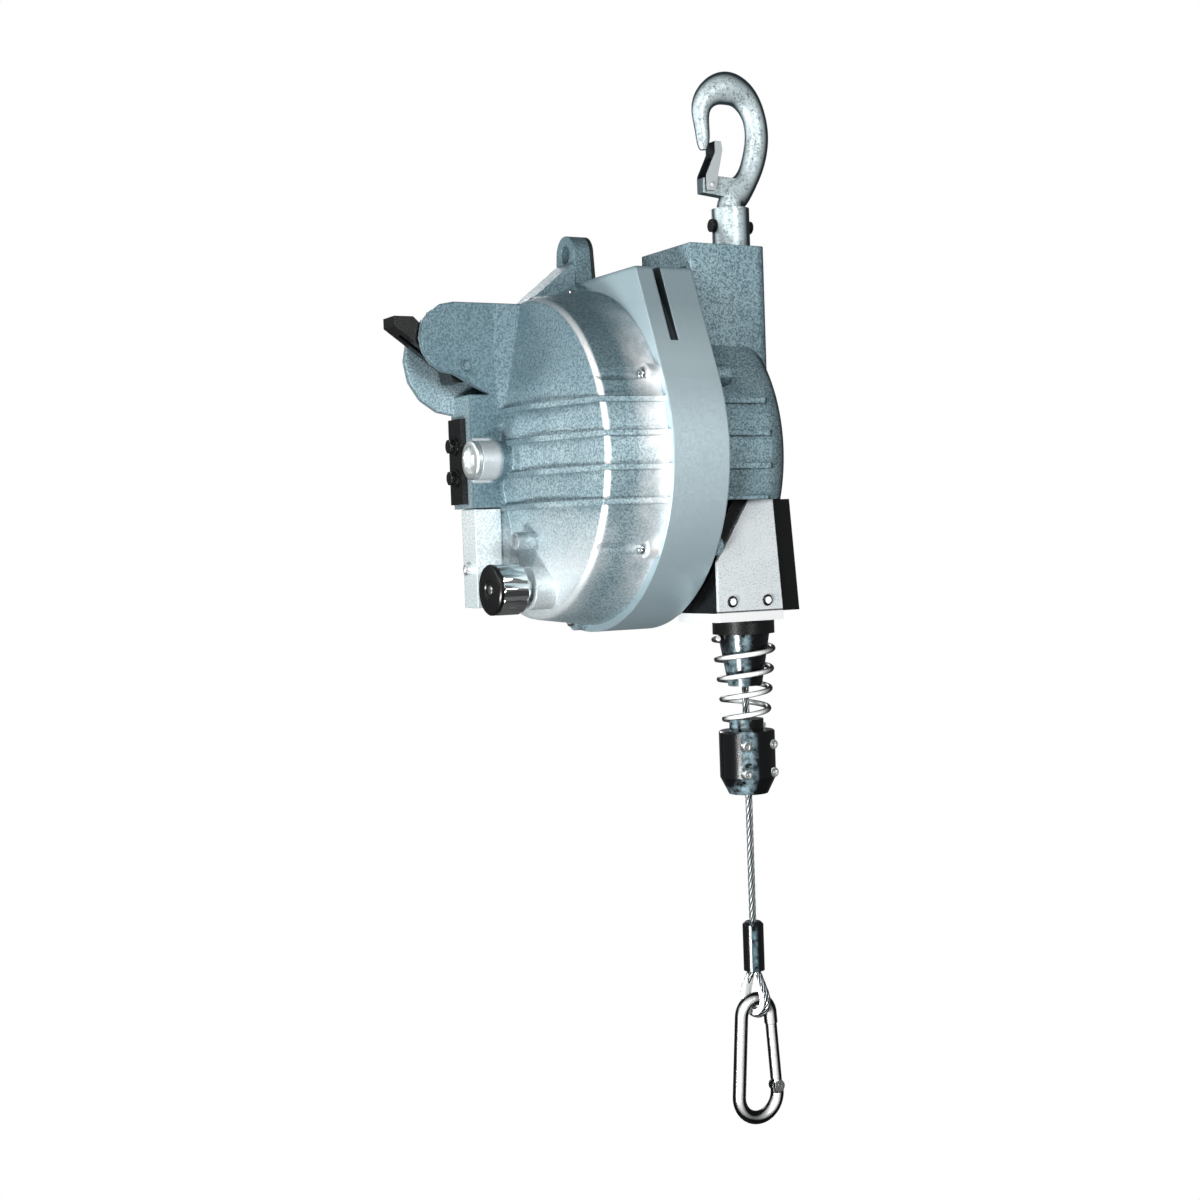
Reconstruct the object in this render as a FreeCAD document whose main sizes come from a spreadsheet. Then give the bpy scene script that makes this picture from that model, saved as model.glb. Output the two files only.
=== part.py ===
import FreeCAD, Part
import Sketcher
import math
import os

# Spring balancer for hanging a heavy hand tool over a work place.
# A drum with a power spring sits in a cast housing, the rope leaves it downwards,
# and a forged swivel hook above the rope carries the whole balancer.
# Row frame: origin at the hook's load-bearing seat, +Z up, drum axis along X,
# the rope and the hook's tower at the front (-Y), the domed cover at -X.

V = FreeCAD.Vector
FULL_TURN = 360
doc = FreeCAD.newDocument("tool_balancer")
sheet = doc.addObject("Spreadsheet::Sheet", "dims")

DIMENSIONS = {
    # Places of the drum axis and of the cover's flange, seen from the load line
    "load_x": (88, "load line behind the cover's flange face"),
    "load_y": (66, "load line in front of the drum axis"),
    "seat_height": (245, "hook seat above the drum axis"),
    # Front housing
    "ring_radius": (124, "outer radius of the joint ring"),
    "ring_width": (44, "width of the joint ring along the drum axis"),
    "dome_base": (119, "radius of the dome where it leaves the ring"),
    "dome_ridge": (113, "radius of the dome at its ridge"),
    "ridge_depth": (44, "depth of the ridge in front of the flange face"),
    "cone_depth": (63, "depth of the dome's cone end"),
    "cone_end": (22, "radius of the dome's flat front end"),
    "wall": (6, "wall of the rear housing"),
    "dome_wall": (8, "wall of the front housing"),
    "shoulder_height": (126, "height of the ring's flat shoulder"),
    "shoulder_front": (82, "front corner of the shoulder"),
    "shoulder_back": (38, "rear end of the shoulder"),
    "rib_width": (4, "width of a cast rib"),
    "rib_height": (2.5, "height of a cast rib"),
    "rib_step": (22.4, "distance between ribs"),
    "lug_height": (36, "height of the safety lug above the shoulder"),
    "lug_half": (16.5, "half width of the lug at its foot"),
    "lug_place": (18.5, "lug centre behind the drum axis"),
    "lug_depth": (16, "thickness of the lug"),
    "lug_top": (13.5, "radius of the lug's round top"),
    "lug_bore": (6.5, "radius of the safety lug's hole"),
    "hub_end": (86, "depth of the hub block's end face"),
    "hub_low": (33, "hub block below the axis"),
    "hub_high": (46, "hub block above the axis"),
    "hub_near": (4, "hub block's near side behind the axis"),
    "hub_far": (38, "hub block's far side behind the axis"),
    "boss_radius": (13.7, "radius of the axle boss"),
    "cheek_wall": (5, "thickness of a cheek of the lever hood"),
    "cheek_foot": (71, "depth of the cheeks' lower corner"),
    "cheek_reach": (122, "depth of the hood's round end"),
    "roof_drop": (2, "hood's roof below its top edge"),
    "roof_reach": (85.4, "front edge of the hood's roof before the flange face"),
    "hood_top": (110, "height of the hood's top edge"),
    "near_cheek_low": (60, "lower edge of the near cheek above the axis"),
    "seat_depth": (66, "depth of the case seat"),
    "case_far": (26, "far side of the brake case"),
    "case_low": (103, "lower end of the brake case"),
    "case_high": (34, "upper end of the brake case"),
    "case_screw_drop": (76, "brake case screw below the axis"),
    "cover_inset": (3, "edge of the hub block left free round its end cover"),
    # Rear housing
    "cup_radius": (110, "outer radius of the rear cup"),
    "cup_end": (108, "rear end of the cup behind the flange face"),
    "cup_round": (23, "rounding of the cup's rear edge"),
    "tower_front": (82, "front face of the tower before the drum axis"),
    "tower_back": (16, "rear face of the tower before the drum axis"),
    "tower_height": (144, "tower top above the drum axis"),
    "tower_roof": (16, "thickness of the tower's roof"),
    "tower_round": (8, "rounding of the tower's front corner"),
    "tower_wall": (7, "walls of the tower"),
    "window_high": (34, "upper edge of the rope window below the axis"),
    "window_deep": (42, "depth of the rope window before the drum axis"),
    # Drum group
    "axle_radius": (10, "radius of the drum axle"),
    "running_gap": (0.05, "radial clearance of a running fit"),
    "clearance": (0.4, "gap between pieces that pass each other"),
    "drum_large": (84, "drum seat radius at its large end"),
    "drum_small": (60, "drum seat radius at its small end"),
    "drum_start": (52, "large end of the drum behind the flange face"),
    "drum_length": (46, "length of the drum"),
    "drum_flange": (4, "height of the drum's end flanges above the rope"),
    "rope_diameter": (5, "diameter of the wire rope"),
    "spring_outer": (105, "outer radius of the power spring"),
    "spring_inner": (30, "inner radius of the power spring"),
    "spring_width": (40, "width of the power spring's band"),
    "band": (2.4, "thickness of the power spring's band"),
    # Suspension
    "bowl": (14.5, "inner radius of the hook's bowl"),
    "hook_bulk": (8.8, "half thickness of the hook's back"),
    "hook_saddle": (11.5, "half thickness of the hook at its saddle"),
    "hook_neck": (9.5, "radius of the hook's shank"),
    "throat_depth": (46, "height of the hook's opening"),
    "latch_place": (19, "latch pin beside the load line"),
    "latch_drop": (58.5, "latch pin below the seat"),
    "latch_top": (27.6, "tip of the latch below the seat"),
    "latch_sheet": (2, "thickness of the latch's cheeks"),
    "ear_half": (4, "half thickness of the hook's ear for the latch"),
    "collar_radius": (13.5, "radius of the swivel collar"),
    "collar_height": (27.5, "height of the swivel collar"),
    "stud_radius": (7, "radius of the swivel stud"),
    "pin_radius": (3, "radius of the cross pins"),
    "nut_radius": (12.1, "corner radius of the swivel nut"),
    "nut_height": (12, "height of the swivel nut"),
    "thrust_radius": (12.6, "outer radius of the thrust bearing"),
    "thrust_height": (8, "height of the thrust bearing"),
    "nut_room": (13.2, "radius of the room for nut and thrust bearing"),
    # Rope exit and buffer
    "exit_low": (112, "lower end of the guide block below the axis"),
    "plate_front": (96, "front face of the guide plate before the axis"),
    "plate_thick": (3, "thickness of the guide plate"),
    "plate_foot": (6, "thickness of the guide plate's foot"),
    "exit_reach": (118, "rear side of the guide block behind the flange face"),
    "exit_slant": (6, "slant of the rear sides of guide block and plate"),
    "block_corner": (15, "width of the slanted corner of the guide block"),
    "block_waist": (61, "lower end of the block's slanted corner below the axis"),
    "plate_width": (53, "width of the guide plate at its foot"),
    "plate_top": (27, "inset of the plate's upper left corner"),
    "plate_step": (6, "inset of the plate's middle left corner"),
    "plate_high": (67, "middle left corner of the plate below the axis"),
    "plate_low": (76, "lower left corner of the plate below the axis"),
    "guide_screw_near": (10, "first guide screw from the block's left side"),
    "guide_screw_far": (39, "second guide screw from the block's left side"),
    "guide_screw_up": (8, "guide screws above the block's lower end"),
    "guide_head": (2, "height of a guide screw's head"),
    "bush_length": (40, "length of the rope bush"),
    "drum_room": (2, "room round the drum in the guide block"),
    "bush_radius": (9, "outer radius of the rope bush"),
    "rope_gap": (1, "radial room round the running rope"),
    "disc_radius": (22, "radius of the buffer's top disc"),
    "disc_height": (10, "height of the buffer's top disc"),
    "buffer_top": (18.3, "radius of the rubber buffer at its top"),
    "buffer_tip": (12, "radius of the rubber buffer at its tip"),
    "buffer_length": (37, "length of the rubber buffer"),
    "coil_wire": (4, "wire of the buffer spring"),
    "coil_top": (21.2, "mean radius of the spring's top turn"),
    "coil_tip": (14.8, "mean radius of the spring's last turn"),
    "coil_length": (64, "height of the spring's helix"),
    "coil_turns": (4.5, "turns of the buffer spring"),
    # Rope end
    "stop_neck": (12.2, "radius of the stop's neck"),
    "stop_radius": (19.9, "radius of the rope stop"),
    "stop_shank": (2, "radius of the stop screws' shank"),
    "stop_head": (3.5, "radius of the stop screws' head"),
    "stop_seat": (8, "seat of the stop screws' heads behind the stop's front"),
    "stop_sink": (2, "face of the stop screws' heads behind the stop's front"),
    "stop_grip": (10, "end of the stop screws behind the rope"),
    "stop_length": (45, "length of the rope stop below its neck"),
    "sleeve_top": (334, "top of the crimped sleeve below the axis"),
    "sleeve_length": (35, "length of the crimped sleeve"),
    "sleeve_radius": (7.5, "radius of the crimped sleeve"),
    "eye_radius": (8, "inner radius of the thimble's round end"),
    "eye_length": (20, "distance from the thimble's round centre to its point"),
    "snap_wire": (9.5, "wire diameter of the snap hook"),
    "snap_play": (2.2, "play between the snap hook and the thimble"),
    "snap_length": (95, "length of the snap hook"),
    "snap_top": (17, "outer radius of the snap hook's top"),
    "snap_bottom": (21, "outer radius of the snap hook's bottom"),
    # Small features of the housings
    "plunger_side": (25, "drum-lock plunger before the drum axis"),
    "plunger_drop": (90, "drum-lock plunger below the drum axis"),
    "plunger_boss": (15, "radius of the plunger's boss"),
    "plunger_boss_depth": (62, "depth of the plunger boss's face"),
    "plunger_rod": (6, "radius of the plunger's rod"),
    "plunger_neck": (9, "radius of the knob's neck"),
    "small_edge": (1, "width of a small chamfer"),
    "knob_radius": (17.6, "radius of the plunger's knob"),
    "knob_length": (19.5, "length of the knob's grip"),
    "knob_cap": (3.5, "length of the knob's black cap"),
    "knob_stand": (6, "neck between the boss and the knob at rest"),
    "grease_drop": (57, "grease boss below the drum axis"),
    "grease_stand": (4, "height of the grease boss in front of the case seat"),
    "grease_boss": (6, "radius of the grease boss"),
    "screw_circle": (116, "radius of the housing screws' circle"),
    "screw_shank": (2.5, "radius of the housing screws' shank"),
    "screw_pad": (7, "radius of a screw pad"),
    "screw_pad_height": (9, "height of a screw pad in front of the flange"),
    "ear_length": (12, "length of a screw ear on the cup"),
    "slot_start": (13, "start of the parting slot behind the flange face"),
    "slot_width": (6, "width of the parting slot"),
    "slot_depth": (7, "depth of the parting slot"),
    "slot_low": (74, "lower end of the parting slot above the axis"),
    "lever_place": (88, "lever pin's depth before the flange face"),
    "lever_height": (66, "lever pin above the drum axis"),
    "lever_pin": (4, "radius of the lever's pin"),
    "lever_reach": (50, "outer end of the lever from its pin"),
    "lever_rise": (34, "top of the lever's outer end above its pin"),
    "lever_bend": (36, "inner end of the lever's level part from its pin"),
    "lever_tip": (7, "thickness of the lever's outer end"),
    "lever_heel": (8, "width of the lever's foot"),
    "lever_foot": (11, "lower end of the lever below its pin"),
    "lever_prong": (7, "width of each prong beside the lever's slot"),
    "lever_side": (2, "room between the lever and a cheek"),
    "cap_screw_circle": (24, "radius of the rear cap's screw circle"),
    "lug_gusset": (36, "reach of the lug's gusset over the dome"),
    "rear_boss": (32, "radius of the rear bearing boss"),
    "boss_step": (6, "height of the rear bearing boss"),
    "bearing_outer": (18, "outer radius of the rear bearing seat"),
    "head_radius": (4, "radius of a housing screw's head"),
    "bolt_corner": (5.5, "corner radius of the end cover's bolt heads"),
    "bolt_height": (5, "height of the end cover's bolt heads"),
    "head_height": (4, "height of a screw's head"),
}


class Size:
    """A length held both as a number and as the sheet formula that gives it."""

    def __init__(self, number, formula):
        self.number = float(number)
        self.formula = formula

    def __add__(self, other):
        other = as_size(other)
        return Size(self.number + other.number, f"({self.formula} + {other.formula})")

    def __sub__(self, other):
        other = as_size(other)
        return Size(self.number - other.number, f"({self.formula} - {other.formula})")

    def __mul__(self, other):
        other = as_size(other)
        return Size(self.number * other.number, f"({self.formula} * {other.formula})")

    def __truediv__(self, other):
        other = as_size(other)
        return Size(self.number / other.number, f"({self.formula} / {other.formula})")

    def __neg__(self):
        return as_size(0) - self

    def __radd__(self, other):
        return as_size(other) + self

    def __rsub__(self, other):
        return as_size(other) - self

    def __rmul__(self, other):
        return as_size(other) * self

    def root(self):
        return Size(math.sqrt(self.number), f"sqrt({self.formula})")


def as_size(value):
    """A plain number as a Size, so that both kinds mix in sums."""
    return value if isinstance(value, Size) else Size(value, f"({float(value)})")


class Dims:
    """The sheet's sizes by name."""


d = Dims()
for row, (alias, (number, words)) in enumerate(DIMENSIONS.items(), start=1):
    sheet.set(f"A{row}", words)
    sheet.set(f"B{row}", str(number))
    sheet.setAlias(f"B{row}", alias)
    setattr(d, alias, Size(number, f"dims.{alias}"))
doc.recompute()

SUBPARTS = []


def bind(thing, property_name, size):
    """Ties one property of an object to the sheet."""
    thing.setExpression(property_name, as_size(size).formula)


def keep(thing, name):
    """Names an object as a sub-part that gets its own file."""
    thing.Label = name
    SUBPARTS.append(thing)
    return thing


def place(thing, x, y, z):
    """Binds where an object stands in the row frame."""
    bind(thing, "Placement.Base.x", x)
    bind(thing, "Placement.Base.y", y)
    bind(thing, "Placement.Base.z", z)


def new_body(name, x, y, z):
    """An empty body whose own origin lies at x, y, z of the row frame."""
    body = doc.addObject("PartDesign::Body", name + "_body")
    place(body, x, y, z)
    return keep(body, name)


NORMAL_SIGN = {"XY_Plane": 1, "YZ_Plane": 1, "XZ_Plane": -1}


def sketch(body, name, role, offset):
    """A sketch on one of the body's own origin planes, moved along its normal."""
    plane = next(f for f in body.Origin.OriginFeatures if f.Role == role)
    drawn = body.newObject("Sketcher::SketchObject", name)
    drawn.AttachmentSupport = (plane, [""])
    drawn.MapMode = "FlatFace"
    bind(drawn, "AttachmentOffset.Base.z", offset)
    return drawn


def polygon(drawn, corners):
    """A closed outline whose corners are all held by sizes of the sheet."""
    corners = [(as_size(a), as_size(b)) for a, b in corners]
    points = [V(a.number, b.number, 0) for a, b in corners]
    count = len(points)
    for i in range(count):
        drawn.addGeometry(Part.LineSegment(points[i], points[(i + 1) % count]), False)
    for i in range(count):
        drawn.addConstraint(Sketcher.Constraint("Coincident", i, 2, (i + 1) % count, 1))
    for i, (a, b) in enumerate(corners):
        for kind, size in (("DistanceX", a), ("DistanceY", b)):
            held = drawn.addConstraint(Sketcher.Constraint(kind, -1, 1, i, 1, size.number))
            drawn.setExpression(f"Constraints[{held}]", size.formula)


def circle(drawn, across, up, radius):
    """A round outline held by its centre and radius."""
    across, up, radius = as_size(across), as_size(up), as_size(radius)
    centre = V(across.number, up.number, 0)
    drawn.addGeometry(Part.Circle(centre, V(0, 0, 1), radius.number), False)
    held = drawn.addConstraint(Sketcher.Constraint("Radius", 0, radius.number))
    drawn.setExpression(f"Constraints[{held}]", radius.formula)
    for kind, size in (("DistanceX", across), ("DistanceY", up)):
        held = drawn.addConstraint(Sketcher.Constraint(kind, -1, 1, 0, 3, size.number))
        drawn.setExpression(f"Constraints[{held}]", size.formula)


def outline(drawn, shape):
    """Draws a round outline from (across, up, radius), or a polygon from a list."""
    if isinstance(shape, tuple):
        circle(drawn, *shape)
    else:
        polygon(drawn, shape)


def slab(body, kind, name, role, shape, low, high):
    """A pad or pocket of an outline between two places along the plane's normal."""
    low, high = as_size(low), as_size(high)
    near, far = (low, high) if NORMAL_SIGN[role] > 0 else (-high, -low)
    drawn = sketch(body, name + "_outline", role, near if kind == "Pad" else far)
    outline(drawn, shape)
    made = body.newObject("PartDesign::" + kind, name)
    made.Profile = drawn
    bind(made, "Length", high - low)
    return made


def turned(body, kind, name, axis, corners):
    """A revolution or groove about the sketch's own H_Axis (X) or V_Axis (Z)."""
    drawn = sketch(body, name + "_profile", "XZ_Plane", 0)
    polygon(drawn, corners)
    made = body.newObject("PartDesign::" + kind, name)
    made.Profile = drawn
    made.ReferenceAxis = (drawn, [axis])
    made.Angle = FULL_TURN
    return made


def rounded(body, name, radius, wanted):
    """Rounds every edge of the body's present shape that the test picks."""
    doc.recompute()
    base = body.Tip
    names = [f"Edge{i + 1}" for i, e in enumerate(base.Shape.Edges) if wanted(e)]
    made = body.newObject("PartDesign::Fillet", name)
    made.Base = (base, names)
    bind(made, "Radius", radius)
    return made


def cylinder(name, radius, height, x, y, z, along="Z"):
    """A plain round bar standing at x, y, z along one axis of the row frame."""
    bar = doc.addObject("Part::Cylinder", name)
    bind(bar, "Radius", radius)
    bind(bar, "Height", height)
    if along == "X":
        bar.Placement.Rotation = FreeCAD.Rotation(V(0, 1, 0), 90)
    if along == "Y":
        bar.Placement.Rotation = FreeCAD.Rotation(V(1, 0, 0), -90)
    place(bar, x, y, z)
    return bar


def cut(name, base, tool):
    """One shape less another."""
    made = doc.addObject("Part::Cut", name)
    made.Base = base
    made.Tool = tool
    return made


def joined(name, shapes):
    """Several shapes as one, or one group of separate solids."""
    made = doc.addObject("Part::MultiFuse", name)
    made.Shapes = shapes
    return made


def ring(name, outer, inner, height, x, y, z, along="Z"):
    """A round bar with a round hole right through it."""
    return cut(
        name,
        cylinder(name + "_outer", outer, height, x, y, z, along),
        cylinder(name + "_inner", inner, height, x, y, z, along),
    )


def shaped(name, shape):
    """A sub-part whose shape is worked out by this script from the sheet's sizes."""
    made = doc.addObject("Part::Feature", name + "_shape")
    made.Shape = shape
    return keep(made, name)


# Places of the housings' own origin (the flange face on the drum axis) in the row frame
AXIS_X = -d.load_x
AXIS_Y = d.load_y
AXIS_Z = -d.seat_height
RIB_HEIGHTS = (-1.5, -0.5, 0.5, 1.5)
# Turn from the horizontal where the shoulder's flat side leaves the ring
SHOULDER_TURN = math.radians(22.5)
SCREW_ANGLES = (34, 94, 154, 214, 274, 334)


def is_circle(edge, radius, at, along):
    """Whether an edge is a full circle of a radius, across one axis at a place."""
    curve = edge.Curve
    if curve.TypeId != "Part::GeomCircle" or abs(curve.Radius - radius.number) > 1e-4:
        return False
    centre = {"X": curve.Center.x, "Z": curve.Center.z}[along]
    return abs(centre - as_size(at).number) < 1e-4


def screw_place(angle):
    """Place of a housing screw on its circle, as sizes along Y and Z from the drum axis."""
    turn = math.radians(angle)
    return d.screw_circle * math.cos(turn), d.screw_circle * math.sin(turn)


def hood_cheek(top, reach, low, foot):
    """Side outline of one cheek of the lever hood, its round end made of short chords."""
    round_end = (as_size(top) - low) / 2
    centre_x = -(reach - round_end)
    centre_z = as_size(top) - round_end
    chords = 8
    outline_points = [(-(d.ridge_depth / 2), as_size(top))]
    for i in range(chords + 1):
        turn = math.pi / 2 + math.pi * i / chords
        outline_points.append((centre_x + round_end * math.cos(turn), centre_z + round_end * math.sin(turn)))
    outline_points.append((-d.cheek_foot, as_size(foot)))
    outline_points.append((-(d.ridge_depth / 2), as_size(foot)))
    return outline_points


def front_housing():
    """Domed cover with its joint ring, ribs, lug, hub block, lever hood and seats."""
    body = new_body("front_housing", AXIS_X, AXIS_Y, AXIS_Z)
    rim = d.shoulder_height
    turned(body, "Revolution", "dome", "H_Axis", [
        (-d.cone_depth, 0),
        (-d.cone_depth, d.cone_end),
        (-d.ridge_depth, d.dome_ridge),
        (0, d.dome_base),
        (0, d.ring_radius),
        (d.ring_width, d.ring_radius),
        (d.ring_width, 0),
    ])
    rounded(body, "dome_ridge_round", d.wall, lambda e: is_circle(e, d.dome_ridge, -d.ridge_depth, "X"))
    slab(body, "Pad", "shoulder", "YZ_Plane", [
        (-d.ring_radius * math.cos(SHOULDER_TURN), d.ring_radius * math.sin(SHOULDER_TURN)),
        (-d.shoulder_front, rim),
        (d.shoulder_back, rim),
        (d.shoulder_back, d.cone_end),
        (0, d.cone_end),
    ], 0, d.ring_width)
    slab(body, "Pad", "hub_block", "XZ_Plane", [
        (-d.hub_end, -d.hub_low),
        (-d.hub_end, d.hub_high),
        (-d.ridge_depth / 2, d.hub_high),
        (-d.ridge_depth / 2, -d.hub_low),
    ], d.hub_near, d.hub_far)
    slab(body, "Pad", "axle_boss", "YZ_Plane", (0, 0, d.boss_radius), -d.hub_end, -d.ridge_depth / 2)
    slab(body, "Pad", "case_seat", "XZ_Plane", [
        (-d.seat_depth, -d.case_low),
        (-d.seat_depth, -d.hub_low / 2),
        (-d.ridge_depth / 2, -d.hub_low / 2),
        (-d.ridge_depth / 2, -d.case_low),
    ], d.hub_near + 1, d.case_far)
    slab(body, "Pad", "plunger_boss", "YZ_Plane", (-d.plunger_side, -d.plunger_drop, d.plunger_boss), -d.plunger_boss_depth, -d.ridge_depth / 2)
    slab(body, "Pad", "grease_boss", "YZ_Plane", (-d.plunger_side, -d.grease_drop, d.grease_boss), -d.seat_depth - d.grease_stand, -d.ridge_depth / 2)
    near_cheek = hood_cheek(d.hood_top, d.cheek_reach, d.near_cheek_low, d.hub_high)
    slab(body, "Pad", "near_cheek", "XZ_Plane", near_cheek, d.hub_near, d.hub_near + d.cheek_wall)
    far_cheek = hood_cheek(d.hood_top, d.cheek_reach, d.hub_low, d.rib_step)
    slab(body, "Pad", "far_cheek", "XZ_Plane", far_cheek, d.hub_far - d.cheek_wall, d.hub_far)
    slab(body, "Pad", "hood_roof", "XZ_Plane", [
        (-d.roof_reach, d.hood_top - d.roof_drop),
        (-(d.ridge_depth / 2), d.hood_top - d.roof_drop),
        (-(d.ridge_depth / 2), d.hood_top - d.cheek_wall - d.roof_drop),
        (-d.roof_reach, d.hood_top - d.cheek_wall - d.roof_drop),
    ], d.hub_near + d.cheek_wall / 2, d.hub_far - d.cheek_wall / 2)
    lug_low = rim - d.wall
    lug_centre = rim + d.lug_height - d.lug_top
    slab(body, "Pad", "lug_foot", "YZ_Plane", [
        (d.lug_place - d.lug_half, lug_low),
        (d.lug_place - d.lug_top, lug_centre),
        (d.lug_place + d.lug_top, lug_centre),
        (d.lug_place + d.lug_half, lug_low),
    ], 0, d.lug_depth)
    slab(body, "Pad", "lug_round", "YZ_Plane", (d.lug_place, lug_centre, d.lug_top), 0, d.lug_depth)
    slab(body, "Pad", "lug_gusset", "XZ_Plane", [
        (0, lug_centre - d.lug_bore),
        (-d.lug_gusset, d.dome_ridge),
        (-d.lug_gusset, d.dome_ridge - d.wall),
        (0, d.dome_ridge),
    ], d.lug_place - d.lug_top, d.lug_place + d.lug_top)
    for i, step in enumerate(RIB_HEIGHTS):
        height = d.rib_step * step
        reach_ring = (d.dome_base * d.dome_base - height * height).root() + d.rib_height
        reach_ridge = (d.dome_ridge * d.dome_ridge - height * height).root() + d.rib_height
        slab(body, "Pad", f"rib_{i + 1}", "XY_Plane", [
            (0, -reach_ring),
            (-d.ridge_depth - d.rib_height, -reach_ridge),
            (-d.cone_depth - d.rib_height, -d.hub_high),
            (-d.cone_depth - d.rib_height, d.hub_high),
            (-d.ridge_depth - d.rib_height, reach_ridge),
            (0, reach_ring),
        ], height - d.rib_width / 2, height + d.rib_width / 2)
    for i, angle in enumerate(SCREW_ANGLES):
        across, up = screw_place(angle)
        slab(body, "Pad", f"screw_pad_{i + 1}", "YZ_Plane", (across, up, d.screw_pad), -d.screw_pad_height, d.wall)
    turned(body, "Groove", "inside", "H_Axis", [
        (-d.cone_depth + 2 * d.wall, 0),
        (-d.cone_depth + 2 * d.wall, d.cone_end),
        (-d.ridge_depth + d.wall, d.dome_ridge - d.dome_wall),
        (0, d.dome_base - d.dome_wall),
        (d.ring_width, d.dome_base - d.dome_wall),
        (d.ring_width, 0),
    ])
    slab(body, "Pocket", "axle_seat", "YZ_Plane", (0, 0, d.axle_radius + d.running_gap), -d.hub_end - 1, 0)
    slab(body, "Pocket", "lug_hole", "YZ_Plane", (d.lug_place, lug_centre, d.lug_bore), -d.lug_gusset, d.lug_depth + 1)
    slab(body, "Pocket", "plunger_hole", "YZ_Plane", (-d.plunger_side, -d.plunger_drop, d.plunger_rod + d.running_gap),
         -d.plunger_boss_depth - 1, 0)
    slab(body, "Pocket", "lever_hole", "XZ_Plane", (-d.lever_place, d.lever_height, d.lever_pin), d.hub_near - 1, d.hub_far + 1)
    slab(body, "Pocket", "parting_slot", "YZ_Plane", [
        (-d.ring_radius, d.slot_low),
        (-d.ring_radius, rim + 1),
        (d.shoulder_back + 1, rim + 1),
        (d.shoulder_back + 1, rim - d.slot_depth),
        (-d.shoulder_front + d.slot_depth, rim - d.slot_depth),
        (-d.ring_radius * math.cos(SHOULDER_TURN) + d.slot_depth * 2, d.slot_low),
    ], d.slot_start, d.slot_start + d.slot_width)
    for i, angle in enumerate(SCREW_ANGLES):
        across, up = screw_place(angle)
        slab(body, "Pocket", f"screw_hole_{i + 1}", "YZ_Plane", (across, up, d.screw_shank), -d.screw_pad_height - 1,
             d.ring_width + 1)
        slab(body, "Pocket", f"screw_room_{i + 1}", "YZ_Plane", (across, up, d.head_radius + d.clearance),
             -d.cone_depth, -d.screw_pad_height)
    return body


def rear_housing():
    """Cup that holds the drum, with the suspension tower and the rope window."""
    body = new_body("rear_housing", AXIS_X, AXIS_Y, AXIS_Z)
    start = d.ring_width
    turned(body, "Revolution", "cup", "H_Axis", [
        (start, 0),
        (start, d.cup_radius),
        (d.cup_end, d.cup_radius),
        (d.cup_end, 0),
    ])
    rounded(body, "cup_edge", d.cup_round, lambda e: is_circle(e, d.cup_radius, d.cup_end, "X"))
    round_corner = [
        (d.cup_end - d.tower_round + d.tower_round * math.sin(math.radians(turn)),
         -d.tower_front + d.tower_round - d.tower_round * math.cos(math.radians(turn)))
        for turn in (0, 22.5, 45, 67.5, 90)
    ]
    slab(body, "Pad", "tower", "XY_Plane", [
        (start, -d.tower_front),
        *round_corner,
        (d.cup_end, -d.tower_back),
        (start, -d.tower_back),
    ], 0, d.tower_height)
    for i, step in enumerate(RIB_HEIGHTS):
        height = d.rib_step * step
        reach = (d.cup_radius * d.cup_radius - height * height).root() + d.rib_height
        slab(body, "Pad", f"cup_rib_{i + 1}", "XY_Plane", [
            (start, -reach),
            (d.cup_end - d.cup_round, -reach),
            (d.cup_end + d.rib_height, -reach + d.cup_round),
            (d.cup_end + d.rib_height, reach - d.cup_round),
            (d.cup_end - d.cup_round, reach),
            (start, reach),
        ], height - d.rib_width / 2, height + d.rib_width / 2)
    slab(body, "Pad", "rear_boss", "YZ_Plane", (0, 0, d.rear_boss), d.cup_end - d.wall, d.cup_end + d.boss_step)
    for i, angle in enumerate(SCREW_ANGLES):
        across, up = screw_place(angle)
        slab(body, "Pad", f"screw_ear_{i + 1}", "YZ_Plane", (across, up, d.screw_pad), start, start + d.ear_length)
    turned(body, "Groove", "inside", "H_Axis", [
        (start, 0),
        (start, d.cup_radius - d.wall),
        (d.cup_end - d.cup_round, d.cup_radius - d.wall),
        (d.cup_end - d.wall, d.cup_radius - d.cup_round),
        (d.cup_end - d.wall, 0),
    ])
    slab(body, "Pocket", "tower_room", "XY_Plane", [
        (start - 1, -d.tower_front + d.tower_wall),
        (d.cup_end - d.tower_wall, -d.tower_front + d.tower_wall),
        (d.cup_end - d.tower_wall, -d.tower_back - d.tower_wall),
        (start - 1, -d.tower_back - d.tower_wall),
    ], -d.window_high, d.tower_height - d.tower_roof)
    slab(body, "Pocket", "nut_room", "XY_Plane", (d.load_x, -d.load_y, d.nut_room),
         d.tower_height - d.tower_roof - d.thrust_height - d.nut_height * 2, d.tower_height - d.tower_roof)
    slab(body, "Pocket", "stud_bore", "XY_Plane", (d.load_x, -d.load_y, d.stud_radius + d.running_gap),
         d.tower_height - d.tower_roof - 1, d.tower_height + 1)
    slab(body, "Pocket", "rope_window", "XY_Plane", [
        (start + d.wall, -d.ring_radius),
        (d.exit_reach, -d.ring_radius),
        (d.exit_reach, -d.window_deep),
        (start + d.wall, -d.window_deep),
    ], -d.ring_radius, -d.window_high)
    slab(body, "Pocket", "rear_bearing_seat", "YZ_Plane", (0, 0, d.bearing_outer), d.cup_end - d.wall - 1,
         d.cup_end + d.boss_step + 1)
    for i, angle in enumerate(SCREW_ANGLES):
        across, up = screw_place(angle)
        slab(body, "Pocket", f"screw_thread_{i + 1}", "YZ_Plane", (across, up, d.screw_shank), start - 1,
             start + d.ear_length + 1)
    return body


def turned_piece(name, corners, x, y, z, axis="V_Axis"):
    """A piece turned on a lathe from one profile about its own X or Z axis."""
    body = new_body(name, x, y, z)
    turned(body, "Revolution", name + "_turned", axis, corners)
    return body


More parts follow.
